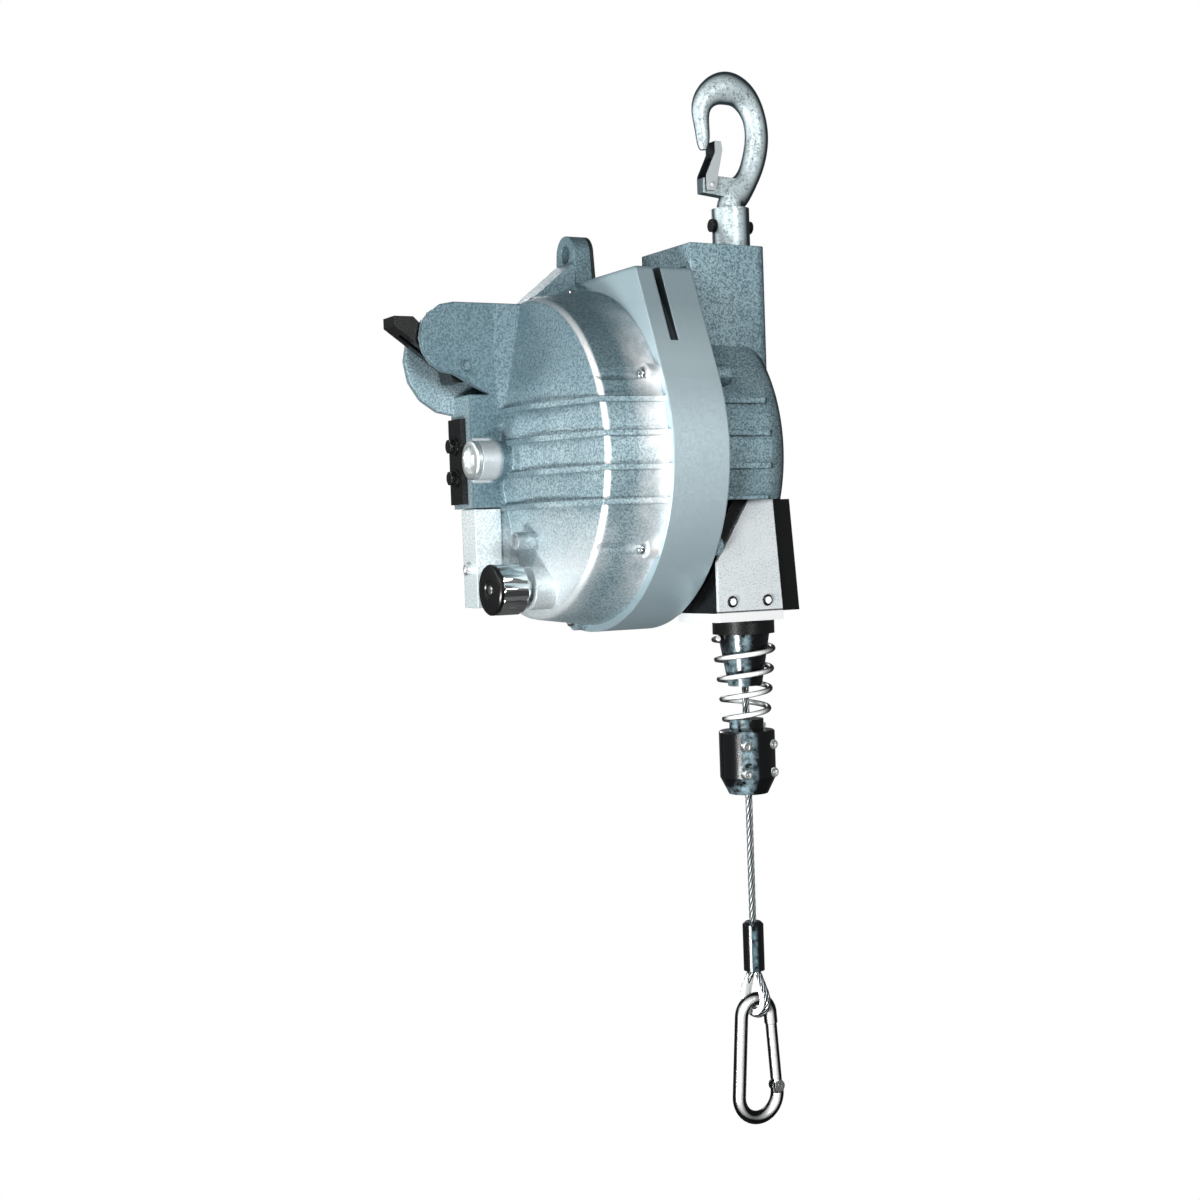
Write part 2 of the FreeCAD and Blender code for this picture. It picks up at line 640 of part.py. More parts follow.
def sleeve_profile(inner, outer, low, high):
    """The profile of a plain sleeve between two radii and two heights."""
    return [(inner, low), (outer, low), (outer, high), (inner, high)]


def lying(corners):
    """A profile of (radius, place) corners turned over for a piece that lies along X."""
    return [(place_x, radius) for radius, place_x in corners]


def drum_group():
    """Axle, drum, rope on the drum, bearings and power spring, all about the drum axis."""
    axle_front = -d.hub_end - d.clearance
    axle_rear = d.cup_end + d.boss_step
    arbor = d.spring_inner - 2 * d.clearance
    arbor_half = d.spring_width / 2
    turned_piece("drum_axle", lying([
        (0, axle_front),
        (d.axle_radius, axle_front),
        (d.axle_radius, -arbor_half),
        (arbor, -arbor_half),
        (arbor, arbor_half),
        (d.axle_radius, arbor_half),
        (d.axle_radius, axle_rear),
        (0, axle_rear),
    ]), AXIS_X, AXIS_Y, AXIS_Z, "H_Axis")
    bar = cylinder("axle_cap_bar", d.boss_radius, d.head_height, AXIS_X + axle_front - d.head_height, AXIS_Y,
                   AXIS_Z, "X")
    socket = doc.addObject("Part::Prism", "axle_cap_socket")
    socket.Polygon = 6
    bind(socket, "Circumradius", d.lever_pin)
    bind(socket, "Height", d.head_height)
    socket.Placement.Rotation = FreeCAD.Rotation(V(0, 1, 0), 90)
    place(socket, AXIS_X + axle_front - d.head_height * 1.5, AXIS_Y, AXIS_Z)
    keep(cut("axle_cap_cut", bar, socket), "axle_cap")
    start = d.drum_start
    end = d.drum_start + d.drum_length
    flange = d.rope_diameter + d.drum_flange
    hollow = d.wall
    hub = d.axle_radius * 2
    turned_piece("rope_drum", lying([
        (hub, start),
        (d.drum_large + flange, start),
        (d.drum_large + flange, start + d.head_height),
        (d.drum_large, start + d.head_height),
        (d.drum_small, end - d.head_height),
        (d.drum_small + flange, end - d.head_height),
        (d.drum_small + flange, end),
        (hub, end),
        (hub, end - hollow),
        (d.drum_small - hollow, end - hollow),
        (d.drum_large - hollow, start + hollow),
        (hub, start + hollow),
    ]), AXIS_X, AXIS_Y, AXIS_Z, "H_Axis")
    turned_piece("rope_layer", lying([
        (d.drum_large, start + d.head_height),
        (d.drum_large + d.rope_diameter, start + d.head_height),
        (d.drum_small + d.rope_diameter, end - d.head_height),
        (d.drum_small, end - d.head_height),
    ]), AXIS_X, AXIS_Y, AXIS_Z, "H_Axis")
    bore = d.axle_radius + d.running_gap
    turned_piece("drum_hub", lying(sleeve_profile(bore, hub, start, end)), AXIS_X, AXIS_Y, AXIS_Z, "H_Axis")
    seat = d.bearing_outer
    turned_piece("rear_bearing", lying(sleeve_profile(bore, seat, d.cup_end - d.wall, axle_rear)),
                 AXIS_X, AXIS_Y, AXIS_Z, "H_Axis")
    turned_piece("rear_cap", lying([
        (0, axle_rear),
        (d.rear_boss, axle_rear),
        (d.rear_boss - 2 * d.small_edge, axle_rear + d.head_height),
        (0, axle_rear + d.head_height),
    ]), AXIS_X, AXIS_Y, AXIS_Z, "H_Axis")
    shaped("power_spring", power_spring())


def power_spring():
    """Spiral band wound round the axle, its radius growing evenly with every turn."""
    turns = 6
    flats = 20
    steps = flats * turns
    inner, outer = d.spring_inner.number, d.spring_outer.number
    x = AXIS_X.number - d.spring_width.number / 2
    edges = []
    for thick in (0, d.band.number):
        edge = []
        for i in range(steps + 1):
            turn = 2 * math.pi * i / flats
            radius = inner + (outer - inner) * i / steps + thick
            edge.append(V(x, AXIS_Y.number + radius * math.cos(turn), AXIS_Z.number + radius * math.sin(turn)))
        edges.append(edge)
    corners = edges[0] + edges[1][::-1]
    band = Part.Face(Part.makePolygon(corners + corners[:1]))
    return band.extrude(V(d.spring_width.number, 0, 0))


def housing_fittings():
    """Screws, end cover, brake case and rear parts on the two housings."""
    screws = []
    for i, angle in enumerate(SCREW_ANGLES):
        across, up = screw_place(angle)
        head_x = AXIS_X - d.screw_pad_height - d.head_height
        shank = cylinder(f"housing_screw_{i}", d.screw_shank, d.screw_pad_height + d.ring_width + d.ear_length / 2,
                         head_x + d.head_height, AXIS_Y + across, AXIS_Z + up, "X")
        head = cylinder(f"housing_screw_head_{i}", d.head_radius, d.head_height, head_x, AXIS_Y + across,
                        AXIS_Z + up, "X")
        screws.append(joined(f"housing_screw_whole_{i}", [shank, head]))
    keep(joined("housing_screw_group", screws), "housing_screws")
    cover = new_body("hub_cover", AXIS_X, AXIS_Y, AXIS_Z)
    slab(cover, "Pad", "hub_cover_plate", "XZ_Plane", [
        (-d.hub_end - d.head_height, -d.hub_low + d.cover_inset),
        (-d.hub_end - d.head_height, d.hub_low - d.cover_inset),
        (-d.hub_end, d.hub_low - d.cover_inset),
        (-d.hub_end, -d.hub_low + d.cover_inset),
    ], d.boss_radius + d.clearance, d.hub_far - d.cover_inset)
    bolts = []
    for i, side in enumerate((-1, 1)):
        bolt = doc.addObject("Part::Prism", f"hub_bolt_{i}")
        bolt.Polygon = 6
        bind(bolt, "Circumradius", d.bolt_corner)
        bind(bolt, "Height", d.bolt_height)
        bolt.Placement.Rotation = FreeCAD.Rotation(V(0, 1, 0), 90)
        place(bolt, AXIS_X - d.hub_end - d.head_height - d.bolt_height, AXIS_Y + (d.hub_far + d.boss_radius) / 2,
              AXIS_Z + side * d.rib_step / 2)
        bolts.append(bolt)
    keep(joined("hub_bolt_group", bolts), "hub_bolts")
    plug = doc.addObject("Part::Prism", "grease_plug_bar")
    plug.Polygon = 6
    bind(plug, "Circumradius", d.head_radius)
    bind(plug, "Height", d.head_height / 2)
    plug.Placement.Rotation = FreeCAD.Rotation(V(0, 1, 0), 90)
    place(plug, AXIS_X - d.seat_depth - d.grease_stand - d.head_height / 2, AXIS_Y - d.plunger_side,
          AXIS_Z - d.grease_drop)
    keep(plug, "grease_plug")
    caps = []
    cap_face = AXIS_X + d.cup_end + d.boss_step + d.head_height
    for i in range(4):
        turn = math.radians(45 + 90 * i)
        caps.append(cylinder(f"rear_cap_screw_{i}", d.pin_radius, d.head_height / 2, cap_face,
                             AXIS_Y + d.cap_screw_circle * math.cos(turn),
                             AXIS_Z + d.cap_screw_circle * math.sin(turn), "X"))
    keep(joined("rear_cap_screw_group", caps), "rear_cap_screws")
    case = new_body("brake_case", AXIS_X, AXIS_Y, AXIS_Z)
    slab(case, "Pad", "case_block", "XZ_Plane", [
        (-d.hub_end, -d.case_low),
        (-d.hub_end, -d.case_high),
        (-d.seat_depth, -d.case_high),
        (-d.seat_depth, -d.case_low),
    ], d.hub_near, d.case_far)
    keep(cylinder("case_screw_bar", d.head_radius, d.head_height, AXIS_X - d.hub_end - d.head_height,
                  AXIS_Y + (d.case_far + d.hub_near) / 2, AXIS_Z - d.case_screw_drop, "X"), "case_screw")


def lock_parts():
    """Lever between the hood's cheeks with its pin, and the drum-lock plunger."""
    pin_x = AXIS_X - d.lever_place
    pin_z = AXIS_Z + d.lever_height
    low_y = d.hub_near + d.cheek_wall + d.lever_side
    high_y = d.hub_far - d.cheek_wall - d.lever_side
    pin_start = d.hub_near + d.lever_side
    keep(cylinder("lever_pin_bar", d.lever_pin, d.hub_far - pin_start, pin_x, AXIS_Y + pin_start, pin_z, "Y"),
         "lever_pin")
    lever = new_body("lock_lever", pin_x, AXIS_Y, pin_z)
    slab(lever, "Pad", "lever_bar", "XZ_Plane", [
        (-d.lever_heel, -d.lever_foot),
        (0, -d.lever_foot),
        (d.lever_tip, 0),
        (0, d.lever_heel),
        (-d.lever_heel, d.lever_heel),
        (-d.lever_bend, d.lever_rise),
        (-d.lever_reach, d.lever_rise),
        (-d.lever_reach, d.lever_rise - d.lever_tip),
        (-d.lever_heel - d.lever_side, -d.lever_side),
    ], low_y, high_y)
    slab(lever, "Pocket", "lever_slot", "XZ_Plane", [
        (-d.lever_reach * 0.24, d.lever_rise * 0.6),
        (-d.lever_reach * 0.6, d.lever_rise * 1.06),
        (-d.lever_reach * 0.88, d.lever_rise * 0.6),
        (-d.lever_reach * 0.48, d.lever_rise * 0.06),
    ], low_y + d.lever_prong, high_y - d.lever_prong)
    slab(lever, "Pocket", "lever_bore", "XZ_Plane", (0, 0, d.lever_pin + d.running_gap), low_y - 1, high_y + 1)
    x = AXIS_X - d.plunger_boss_depth
    y = AXIS_Y - d.plunger_side
    z = AXIS_Z - d.plunger_drop
    grip_low = -d.knob_stand - d.knob_length
    turned_piece("plunger_knob", lying([
        (0, grip_low),
        (d.knob_radius, grip_low),
        (d.knob_radius, -d.knob_stand),
        (d.plunger_neck, -d.knob_stand),
        (d.plunger_neck, -d.clearance),
        (d.plunger_rod, -d.clearance),
        (d.plunger_rod, d.plunger_boss_depth - d.ridge_depth + d.wall),
        (0, d.plunger_boss_depth - d.ridge_depth + d.wall),
    ]), x, y, z, "H_Axis")
    turned_piece("plunger_cap", lying([
        (0, grip_low - d.knob_cap),
        (d.knob_radius - d.small_edge, grip_low - d.knob_cap),
        (d.knob_radius, grip_low - d.knob_cap + d.small_edge),
        (d.knob_radius, grip_low),
        (0, grip_low),
    ]), x, y, z, "H_Axis")


# Height of the cross pin in the collar, and the depths of its bore and of the shank in it, as shares of its height
CROSS_PIN_SHARE = 0.56
COLLAR_BORE = 0.57
SHANK_SHARE = 0.55
TOWER_TOP = AXIS_Z + d.tower_height
COLLAR_TOP = TOWER_TOP + d.collar_height


# Turn along the hook's saddle in degrees and the section's half thickness there, as a share of the back's
HOOK_SADDLE = ((20, 1.0), (55, 1.15), (90, 1.3), (125, 1.08), (158, 0.8))
# Height of the hook's tip sections as a share of the opening, and their half thickness as a share of the back's
HOOK_TIP = ((0.42, 0.62), (0.66, 0.45), (0.72, 0.28))
# Width of the hook's sections across its plane, as a share of their thickness in it
HOOK_FLAT = 0.88


def hook_shape():
    """Forged hook lofted through oval sections along its centreline, with the latch's ear."""
    bowl = d.bowl.number
    bulk = d.hook_bulk.number
    neck = d.hook_neck.number
    throat = d.throat_depth.number
    crown = bulk * max(share for turn, share in HOOK_SADDLE)
    low = COLLAR_TOP.number - d.collar_height.number * SHANK_SHARE
    reach = bowl + bulk
    start = COLLAR_TOP.number + d.clearance.number
    stations = [
        (0, start, neck),
        (0, start + d.head_height.number / 2, neck),
        (reach * 0.13, -throat - bulk * 2.2, neck * 1.05),
        (bowl * 0.95, -throat - bulk * 0.8, bulk),
        (reach * 0.9, -throat + bulk * 0.9, bulk),
        (reach * 1.04, -throat * 0.47, bulk),
    ]
    for degrees, share in HOOK_SADDLE:
        turn = math.radians(degrees)
        stations.append((reach * math.cos(turn), -bowl + (bowl + crown) * math.sin(turn), bulk * share))
    for share, thick in HOOK_TIP:
        stations.append((-bowl * (1.5 - share * 0.12), -throat * share, bulk * thick))
    wires = []
    last = len(stations) - 1
    for i, (x, z, half) in enumerate(stations):
        before = stations[max(i - 1, 0)]
        after = stations[min(i + 1, last)]
        round_shank = i < 2
        ahead = V(0, 0, 1) if round_shank else V(after[0] - before[0], 0, after[1] - before[1]).normalize()
        sideways = ahead.cross(V(0, 1, 0))
        if round_shank:
            section = Part.Circle(V(x, 0, z), ahead, half)
            section.XAxis = sideways
        else:
            section = Part.Ellipse(V(x, 0, z) + sideways * half, V(x, half * HOOK_FLAT, z), V(x, 0, z))
        wires.append(Part.Wire([section.toShape()]))
    shank = Part.makeCylinder(neck, start - low, V(0, 0, low))
    body = Part.makeLoft(wires, True, False).fuse(shank)
    pivot = latch_pivot()
    half_ear = d.ear_half.number
    ear_edge = 1.7 * d.pin_radius.number
    ear = Part.makePolygon([
        V(pivot.x - ear_edge, -half_ear, pivot.z - ear_edge),
        V(pivot.x - ear_edge, -half_ear, pivot.z + ear_edge),
        V(pivot.x + ear_edge, -half_ear, pivot.z + ear_edge * 1.4),
        V(bowl * 0.5, -half_ear, pivot.z + ear_edge * 1.2),
        V(bowl * 0.5, -half_ear, pivot.z - ear_edge * 1.6),
        V(pivot.x - ear_edge, -half_ear, pivot.z - ear_edge),
    ])
    ear = Part.Face(ear).extrude(V(0, 2 * half_ear, 0))
    pin_hole = Part.makeCylinder(d.pin_radius.number / 2, 4 * neck, V(pivot.x, -2 * neck, pivot.z), V(0, 1, 0))
    cross_hole = Part.makeCylinder(d.pin_radius.number, 6 * neck, V(-3 * neck, 0, cross_pin_height()), V(1, 0, 0))
    return body.fuse(ear).cut(pin_hole).cut(cross_hole).removeSplitter()


def latch_pivot():
    """Where the latch's pin crosses the hook's ear."""
    return V(-d.latch_place.number, 0, -d.latch_drop.number)


def cross_pin_height():
    """Height of the cross pins through the collar and the hook's shank."""
    return COLLAR_TOP.number - d.collar_height.number * (1 - CROSS_PIN_SHARE)


def latch_shape():
    """Bent sheet latch: a tongue with two cheeks beside the hook's ear."""
    pivot = latch_pivot()
    tip_z = -d.latch_top.number
    face_x = -d.bowl.number * 1.02
    foot = 1.2 * d.pin_radius.number
    sheet = d.latch_sheet.number
    side = Part.makePolygon([
        V(pivot.x - foot, 0, pivot.z - foot),
        V(pivot.x + foot, 0, pivot.z - foot),
        V(face_x + 3 * sheet, 0, tip_z - 3 * sheet),
        V(face_x + 2.5 * sheet, 0, tip_z),
        V(face_x, 0, tip_z),
        V(face_x, 0, tip_z - 4 * sheet),
        V(pivot.x - foot, 0, pivot.z + 2 * foot),
        V(pivot.x - foot, 0, pivot.z - foot),
    ])
    half_ear = d.ear_half.number + d.clearance.number
    half = half_ear + sheet
    solid = Part.Face(side).extrude(V(0, 2 * half, 0)).translated(V(0, -half, 0))
    slot_top = (pivot.z + tip_z) / 2 + 2 * sheet
    slot = Part.makeBox(4 * half, 2 * half_ear, slot_top - pivot.z + 4 * foot,
                        V(pivot.x - 2 * half, -half_ear, pivot.z - 4 * foot))
    pin_hole = Part.makeCylinder(d.pin_radius.number / 2 + d.running_gap.number, 4 * half,
                                 V(pivot.x, -2 * half, pivot.z), V(0, 1, 0))
    return solid.cut(slot).cut(pin_hole)


def suspension():
    """Hook, latch, swivel collar with its stud, cross pin, nut and thrust bearing."""
    shaped("suspension_hook", hook_shape())
    shaped("hook_latch", latch_shape())
    pivot = latch_pivot()
    half = d.ear_half.number + d.clearance.number + d.latch_sheet.number + d.small_edge.number
    pin = Part.makeCylinder(d.pin_radius.number / 2, 2 * half, V(pivot.x, -half, pivot.z), V(0, 1, 0))
    shaped("latch_pin", pin)
    bore = d.hook_neck + d.running_gap
    depth = d.collar_height * COLLAR_BORE
    stud_end = -d.tower_roof - d.thrust_height - d.nut_height - d.head_height
    body = turned_piece("swivel_collar", [
        (0, stud_end),
        (d.stud_radius, stud_end),
        (d.stud_radius, 0),
        (d.collar_radius, 0),
        (d.collar_radius, d.collar_height),
        (bore, d.collar_height),
        (bore, d.collar_height - depth),
        (0, d.collar_height - depth),
    ], 0, 0, TOWER_TOP)
    slab(body, "Pocket", "cross_bore", "YZ_Plane", (0, d.collar_height * CROSS_PIN_SHARE, d.pin_radius),
         -d.collar_radius - 1, d.collar_radius + 1)
    pin_z = TOWER_TOP + d.collar_height * CROSS_PIN_SHARE
    half_pin = d.collar_radius
    parts = [cylinder("cross_pin_bar", d.pin_radius, 2 * half_pin, -half_pin, 0, pin_z, "X")]
    for i, x in enumerate((-half_pin - d.pin_radius, half_pin)):
        parts.append(cylinder(f"cross_pin_head_{i}", d.pin_radius * 1.5, d.pin_radius, x, 0, pin_z, "X"))
    keep(joined("cross_pin_whole", parts), "cross_pin")
    roof_low = TOWER_TOP - d.tower_roof
    keep(ring("thrust_ring", d.thrust_radius, d.stud_radius + d.clearance, d.thrust_height, 0, 0,
              roof_low - d.thrust_height), "thrust_bearing")
    nut_low = roof_low - d.thrust_height - d.nut_height
    nut = doc.addObject("Part::Prism", "nut_hex")
    nut.Polygon = 6
    bind(nut, "Circumradius", d.nut_radius)
    bind(nut, "Height", d.nut_height)
    place(nut, 0, 0, nut_low)
    thread = cylinder("nut_thread", d.stud_radius, d.nut_height, 0, 0, nut_low)
    keep(cut("nut_whole", nut, thread), "swivel_nut")


def rope_exit():
    """Guide block, folded guide plate with its screws, and the bush the rope runs in."""
    block = new_body("guide_block", AXIS_X, AXIS_Y, AXIS_Z)
    inner = d.ring_width + d.wall
    back_y = -d.window_deep
    front_y = -d.plate_front + d.plate_thick
    slab(block, "Pad", "block", "XZ_Plane", [
        (inner, -d.exit_low),
        (d.exit_reach, -d.exit_low),
        (d.exit_reach - d.exit_slant, -d.window_high),
        (inner + d.block_corner, -d.window_high),
        (inner, -d.block_waist),
    ], front_y, back_y)
    rope_top = d.rope_diameter + d.drum_flange + d.drum_room
    turned(block, "Groove", "room_for_drum", "H_Axis", [
        (inner - 1, 0),
        (inner - 1, d.drum_large + rope_top),
        (d.drum_start + d.wall, d.drum_large + rope_top),
        (d.cup_end - d.wall, d.drum_small + rope_top + d.drum_room),
        (d.cup_end - d.wall, 0),
    ])
    slab(block, "Pocket", "rope_bore", "XY_Plane", (d.load_x, -d.load_y, d.bush_radius), -d.exit_low - 1, 0)
    plate = new_body("guide_plate", AXIS_X, AXIS_Y, AXIS_Z)
    left = inner - 1
    right = left + d.plate_width
    slab(plate, "Pad", "plate", "XZ_Plane", [
        (left, -d.exit_low),
        (right, -d.exit_low),
        (right - d.exit_slant, -d.window_high),
        (left + d.plate_top, -d.window_high),
        (left + d.plate_step, -d.plate_high),
        (left, -d.plate_low),
    ], -d.plate_front, front_y)
    slab(plate, "Pad", "plate_foot", "XY_Plane", [
        (left, -d.plate_front),
        (right, -d.plate_front),
        (d.exit_reach, back_y),
        (left, back_y),
    ], -d.exit_low - d.plate_foot, -d.exit_low)
    slab(plate, "Pocket", "plate_bore", "XY_Plane", (d.load_x, -d.load_y, d.bush_radius),
         -d.exit_low - d.plate_foot - 1, -d.exit_low + 1)
    heads = []
    for i, x in enumerate((d.guide_screw_near, d.guide_screw_far)):
        heads.append(cylinder(f"guide_screw_{i}", d.head_radius, d.guide_head, AXIS_X + inner + x,
                              AXIS_Y - d.plate_front - d.guide_head, AXIS_Z - d.exit_low + d.guide_screw_up, "Y"))
    keep(joined("guide_screw_group", heads), "guide_screws")
    bore = d.rope_diameter / 2 + d.rope_gap
    low = -d.exit_low - d.plate_foot
    turned_piece("rope_bush", sleeve_profile(bore, d.bush_radius, low, low + d.bush_length), 0, 0, AXIS_Z)


BUFFER_FACE = -d.exit_low - d.plate_foot - d.disc_height
COIL_TOP = BUFFER_FACE - d.coil_wire / 2 - d.clearance
STOP_FACE = COIL_TOP - d.coil_length - d.coil_wire / 2 - d.clearance


def coil_shape():
    """Conical helix spring, its wire swept along one tapering helix."""
    pitch = d.coil_length / d.coil_turns
    taper = math.degrees(math.atan2(d.coil_top.number - d.coil_tip.number, d.coil_length.number))
    helix = Part.makeHelix(pitch.number, d.coil_length.number, d.coil_tip.number, taper)
    start = V(d.coil_tip.number, 0, 0)
    sides = 12
    turns = [2 * math.pi * (i % sides) / sides for i in range(sides + 1)]
    section = Part.makePolygon([start + V(math.cos(turn), 0, math.sin(turn)) * (d.coil_wire.number / 2)
                                for turn in turns])
    swept = Part.Wire(helix.Wires[0].Edges).makePipeShell([section], True, True)
    return swept.translated(V(0, 0, (AXIS_Z + COIL_TOP - d.coil_length).number))


def buffer_parts():
    """Top disc, tapered rubber buffer and the tapered spring round it."""
    bore = d.rope_diameter / 2 + d.rope_gap
    disc_top = -d.exit_low - d.plate_foot
    turned_piece("buffer_disc", sleeve_profile(bore, d.disc_radius, BUFFER_FACE, disc_top), 0, 0, AXIS_Z)
    turned_piece("rubber_buffer", [
        (bore, BUFFER_FACE - d.buffer_length),
        (d.buffer_tip, BUFFER_FACE - d.buffer_length),
        (d.buffer_top, BUFFER_FACE),
        (bore, BUFFER_FACE),
    ], 0, 0, AXIS_Z)
    shaped("buffer_spring", coil_shape())


# Side of each stop screw and its depth below the stop's face as a share of the stop's length
STOP_SCREWS = ((-1, 0.22), (1, 0.22), (-1, 0.66), (1, 0.66))
STOP_SCREW_SIDE = 0.55


def stop_parts():
    """Rope stop in two halves clamped round the rope by four screws."""
    bore = d.rope_diameter / 2
    whole = doc.addObject("PartDesign::Body", "stop_whole")
    place(whole, 0, 0, AXIS_Z + STOP_FACE)
    turned(whole, "Revolution", "stop_turned", "V_Axis", [
        (bore, -d.stop_length),
        (d.stop_radius - d.wall, -d.stop_length),
        (d.stop_radius, -d.stop_length + d.wall * 2),
        (d.stop_radius, -d.small_edge),
        (d.stop_radius - d.small_edge, 0),
        (d.stop_neck, 0),
        (d.stop_neck, d.head_height * 2),
        (bore, d.head_height * 2),
    ])
    screws = []
    holes = []
    for i, (side, level) in enumerate(STOP_SCREWS):
        x = d.stop_radius * STOP_SCREW_SIDE * side
        z = AXIS_Z + STOP_FACE - d.stop_length * level
        for kind, extra in (("screw", as_size(0)), ("hole", d.running_gap / 5)):
            shank = cylinder(f"stop_{kind}_shank_{i}", d.stop_shank + extra, d.stop_radius - d.stop_seat + d.stop_grip, x,
                             -d.stop_radius + d.stop_seat, z, "Y")
            head = cylinder(f"stop_{kind}_head_{i}", d.stop_head + extra, d.stop_seat - d.stop_sink, x,
                            -d.stop_radius + d.stop_sink, z, "Y")
            if kind == "hole":
                bind(head, "Height", 2 * d.stop_seat)
                bind(head, "Placement.Base.y", -d.stop_radius - d.stop_seat)
            pieces = [shank, head]
            (screws if kind == "screw" else holes).extend(pieces)
    hole_group = joined("stop_hole_group", holes)
    drilled = cut("stop_drilled", whole, hole_group)
    for name, low_y in (("stop_front_half", -d.stop_radius - 1), ("stop_rear_half", as_size(0))):
        room = doc.addObject("Part::Box", name + "_room")
        bind(room, "Length", 2 * d.stop_radius + 2)
        bind(room, "Width", d.stop_radius + 1)
        bind(room, "Height", d.stop_length + d.head_height * 2 + 2)
        place(room, -d.stop_radius - 1, low_y, AXIS_Z + STOP_FACE - d.stop_length - 1)
        half = doc.addObject("Part::Common", name + "_common")
        half.Base = drilled
        half.Tool = room
        keep(half, name)
    keep(joined("stop_screw_group", screws), "stop_screws")


# Turn of the rope's eye about the load line, in degrees
EYE_TURN = 10
ROPE_TOP = AXIS_Z - d.window_high - d.wall
SLEEVE_LOW = AXIS_Z - d.sleeve_top - d.sleeve_length


def eye_path(radius):
    """Teardrop route round the thimble: two straight legs and the arc that joins them."""
    centre_z = SLEEVE_LOW.number - d.eye_length.number
    leg_x = d.rope_diameter.number / 2 + 0.1
    away = math.hypot(leg_x, d.eye_length.number)
    touch = math.atan2(d.eye_length.number, leg_x) - math.acos(radius / away)
    tangent_x = radius * math.cos(touch)
    tangent_z = centre_z + radius * math.sin(touch)
    left = Part.makeLine(V(-leg_x, 0, SLEEVE_LOW.number), V(-tangent_x, 0, tangent_z))
    arc = Part.Arc(V(-tangent_x, 0, tangent_z), V(0, 0, centre_z - radius), V(tangent_x, 0, tangent_z)).toShape()
    right = Part.makeLine(V(tangent_x, 0, tangent_z), V(leg_x, 0, SLEEVE_LOW.number))
    return Part.Wire([left, arc, right])


def rope_eye_shape():
    """Rope that leaves the sleeve, goes round the thimble and comes back."""
    path = eye_path(rope_eye_radius())
    start = path.Vertexes[0].Point
    tangent = (path.Edges[0].Vertexes[1].Point - start).normalize()
    section = Part.Wire([Part.Circle(start, tangent, d.rope_diameter.number / 2).toShape()])
    inside_sleeve = Part.makeBox(60, 60, 20, V(-30, -30, SLEEVE_LOW.number))
    return path.makePipeShell([section], True, False).cut(inside_sleeve)


def rope_eye_radius():
    """Radius of the rope's centreline round the thimble."""
    return d.eye_radius.number + 1.5 + d.rope_diameter.number / 2


def thimble_shape():
    """Gutter that lines the eye: a teardrop band with a groove for the rope."""
    outer_wire = eye_path(rope_eye_radius())
    inner_wire = eye_path(d.eye_radius.number)
    half_width = d.rope_diameter.number / 2 + 0.8
    faces = []
    for wire in (outer_wire, inner_wire):
        ends = [wire.Vertexes[0].Point, wire.Vertexes[-1].Point]
        closed = Part.Wire(wire.Edges + [Part.makeLine(ends[1], ends[0])])
        faces.append(Part.Face(closed).extrude(V(0, 2 * half_width, 0)).translated(V(0, -half_width, 0)))
    band = faces[0].cut(faces[1]).cut(rope_eye_shape())
    trim = Part.makeBox(60, 60, 20, V(-30, -30, SLEEVE_LOW.number - 3))
    band = band.cut(trim)
    return max(band.Solids, key=lambda solid: solid.Volume)


SNAP_TOP = SLEEVE_LOW - d.eye_length - d.eye_radius + d.snap_wire + d.snap_play


def snap_layout():
    """Centres, radii and side direction of the snap hook's pear-shaped centreline."""
    wire = d.snap_wire.number / 2
    small = d.snap_top.number - wire
    large = d.snap_bottom.number - wire
    top = V(0, 0, SNAP_TOP.number - d.snap_top.number)
    bottom = V(0, 0, SNAP_TOP.number - d.snap_length.number + d.snap_bottom.number)
    slope = math.asin((large - small) / (top.z - bottom.z))
    return top, bottom, small, large, slope


def on_side(centre, radius, slope, side):
    """Point where the pear's straight side meets one of its round ends."""
    return centre + V(side * math.cos(slope), 0, math.sin(slope)) * radius


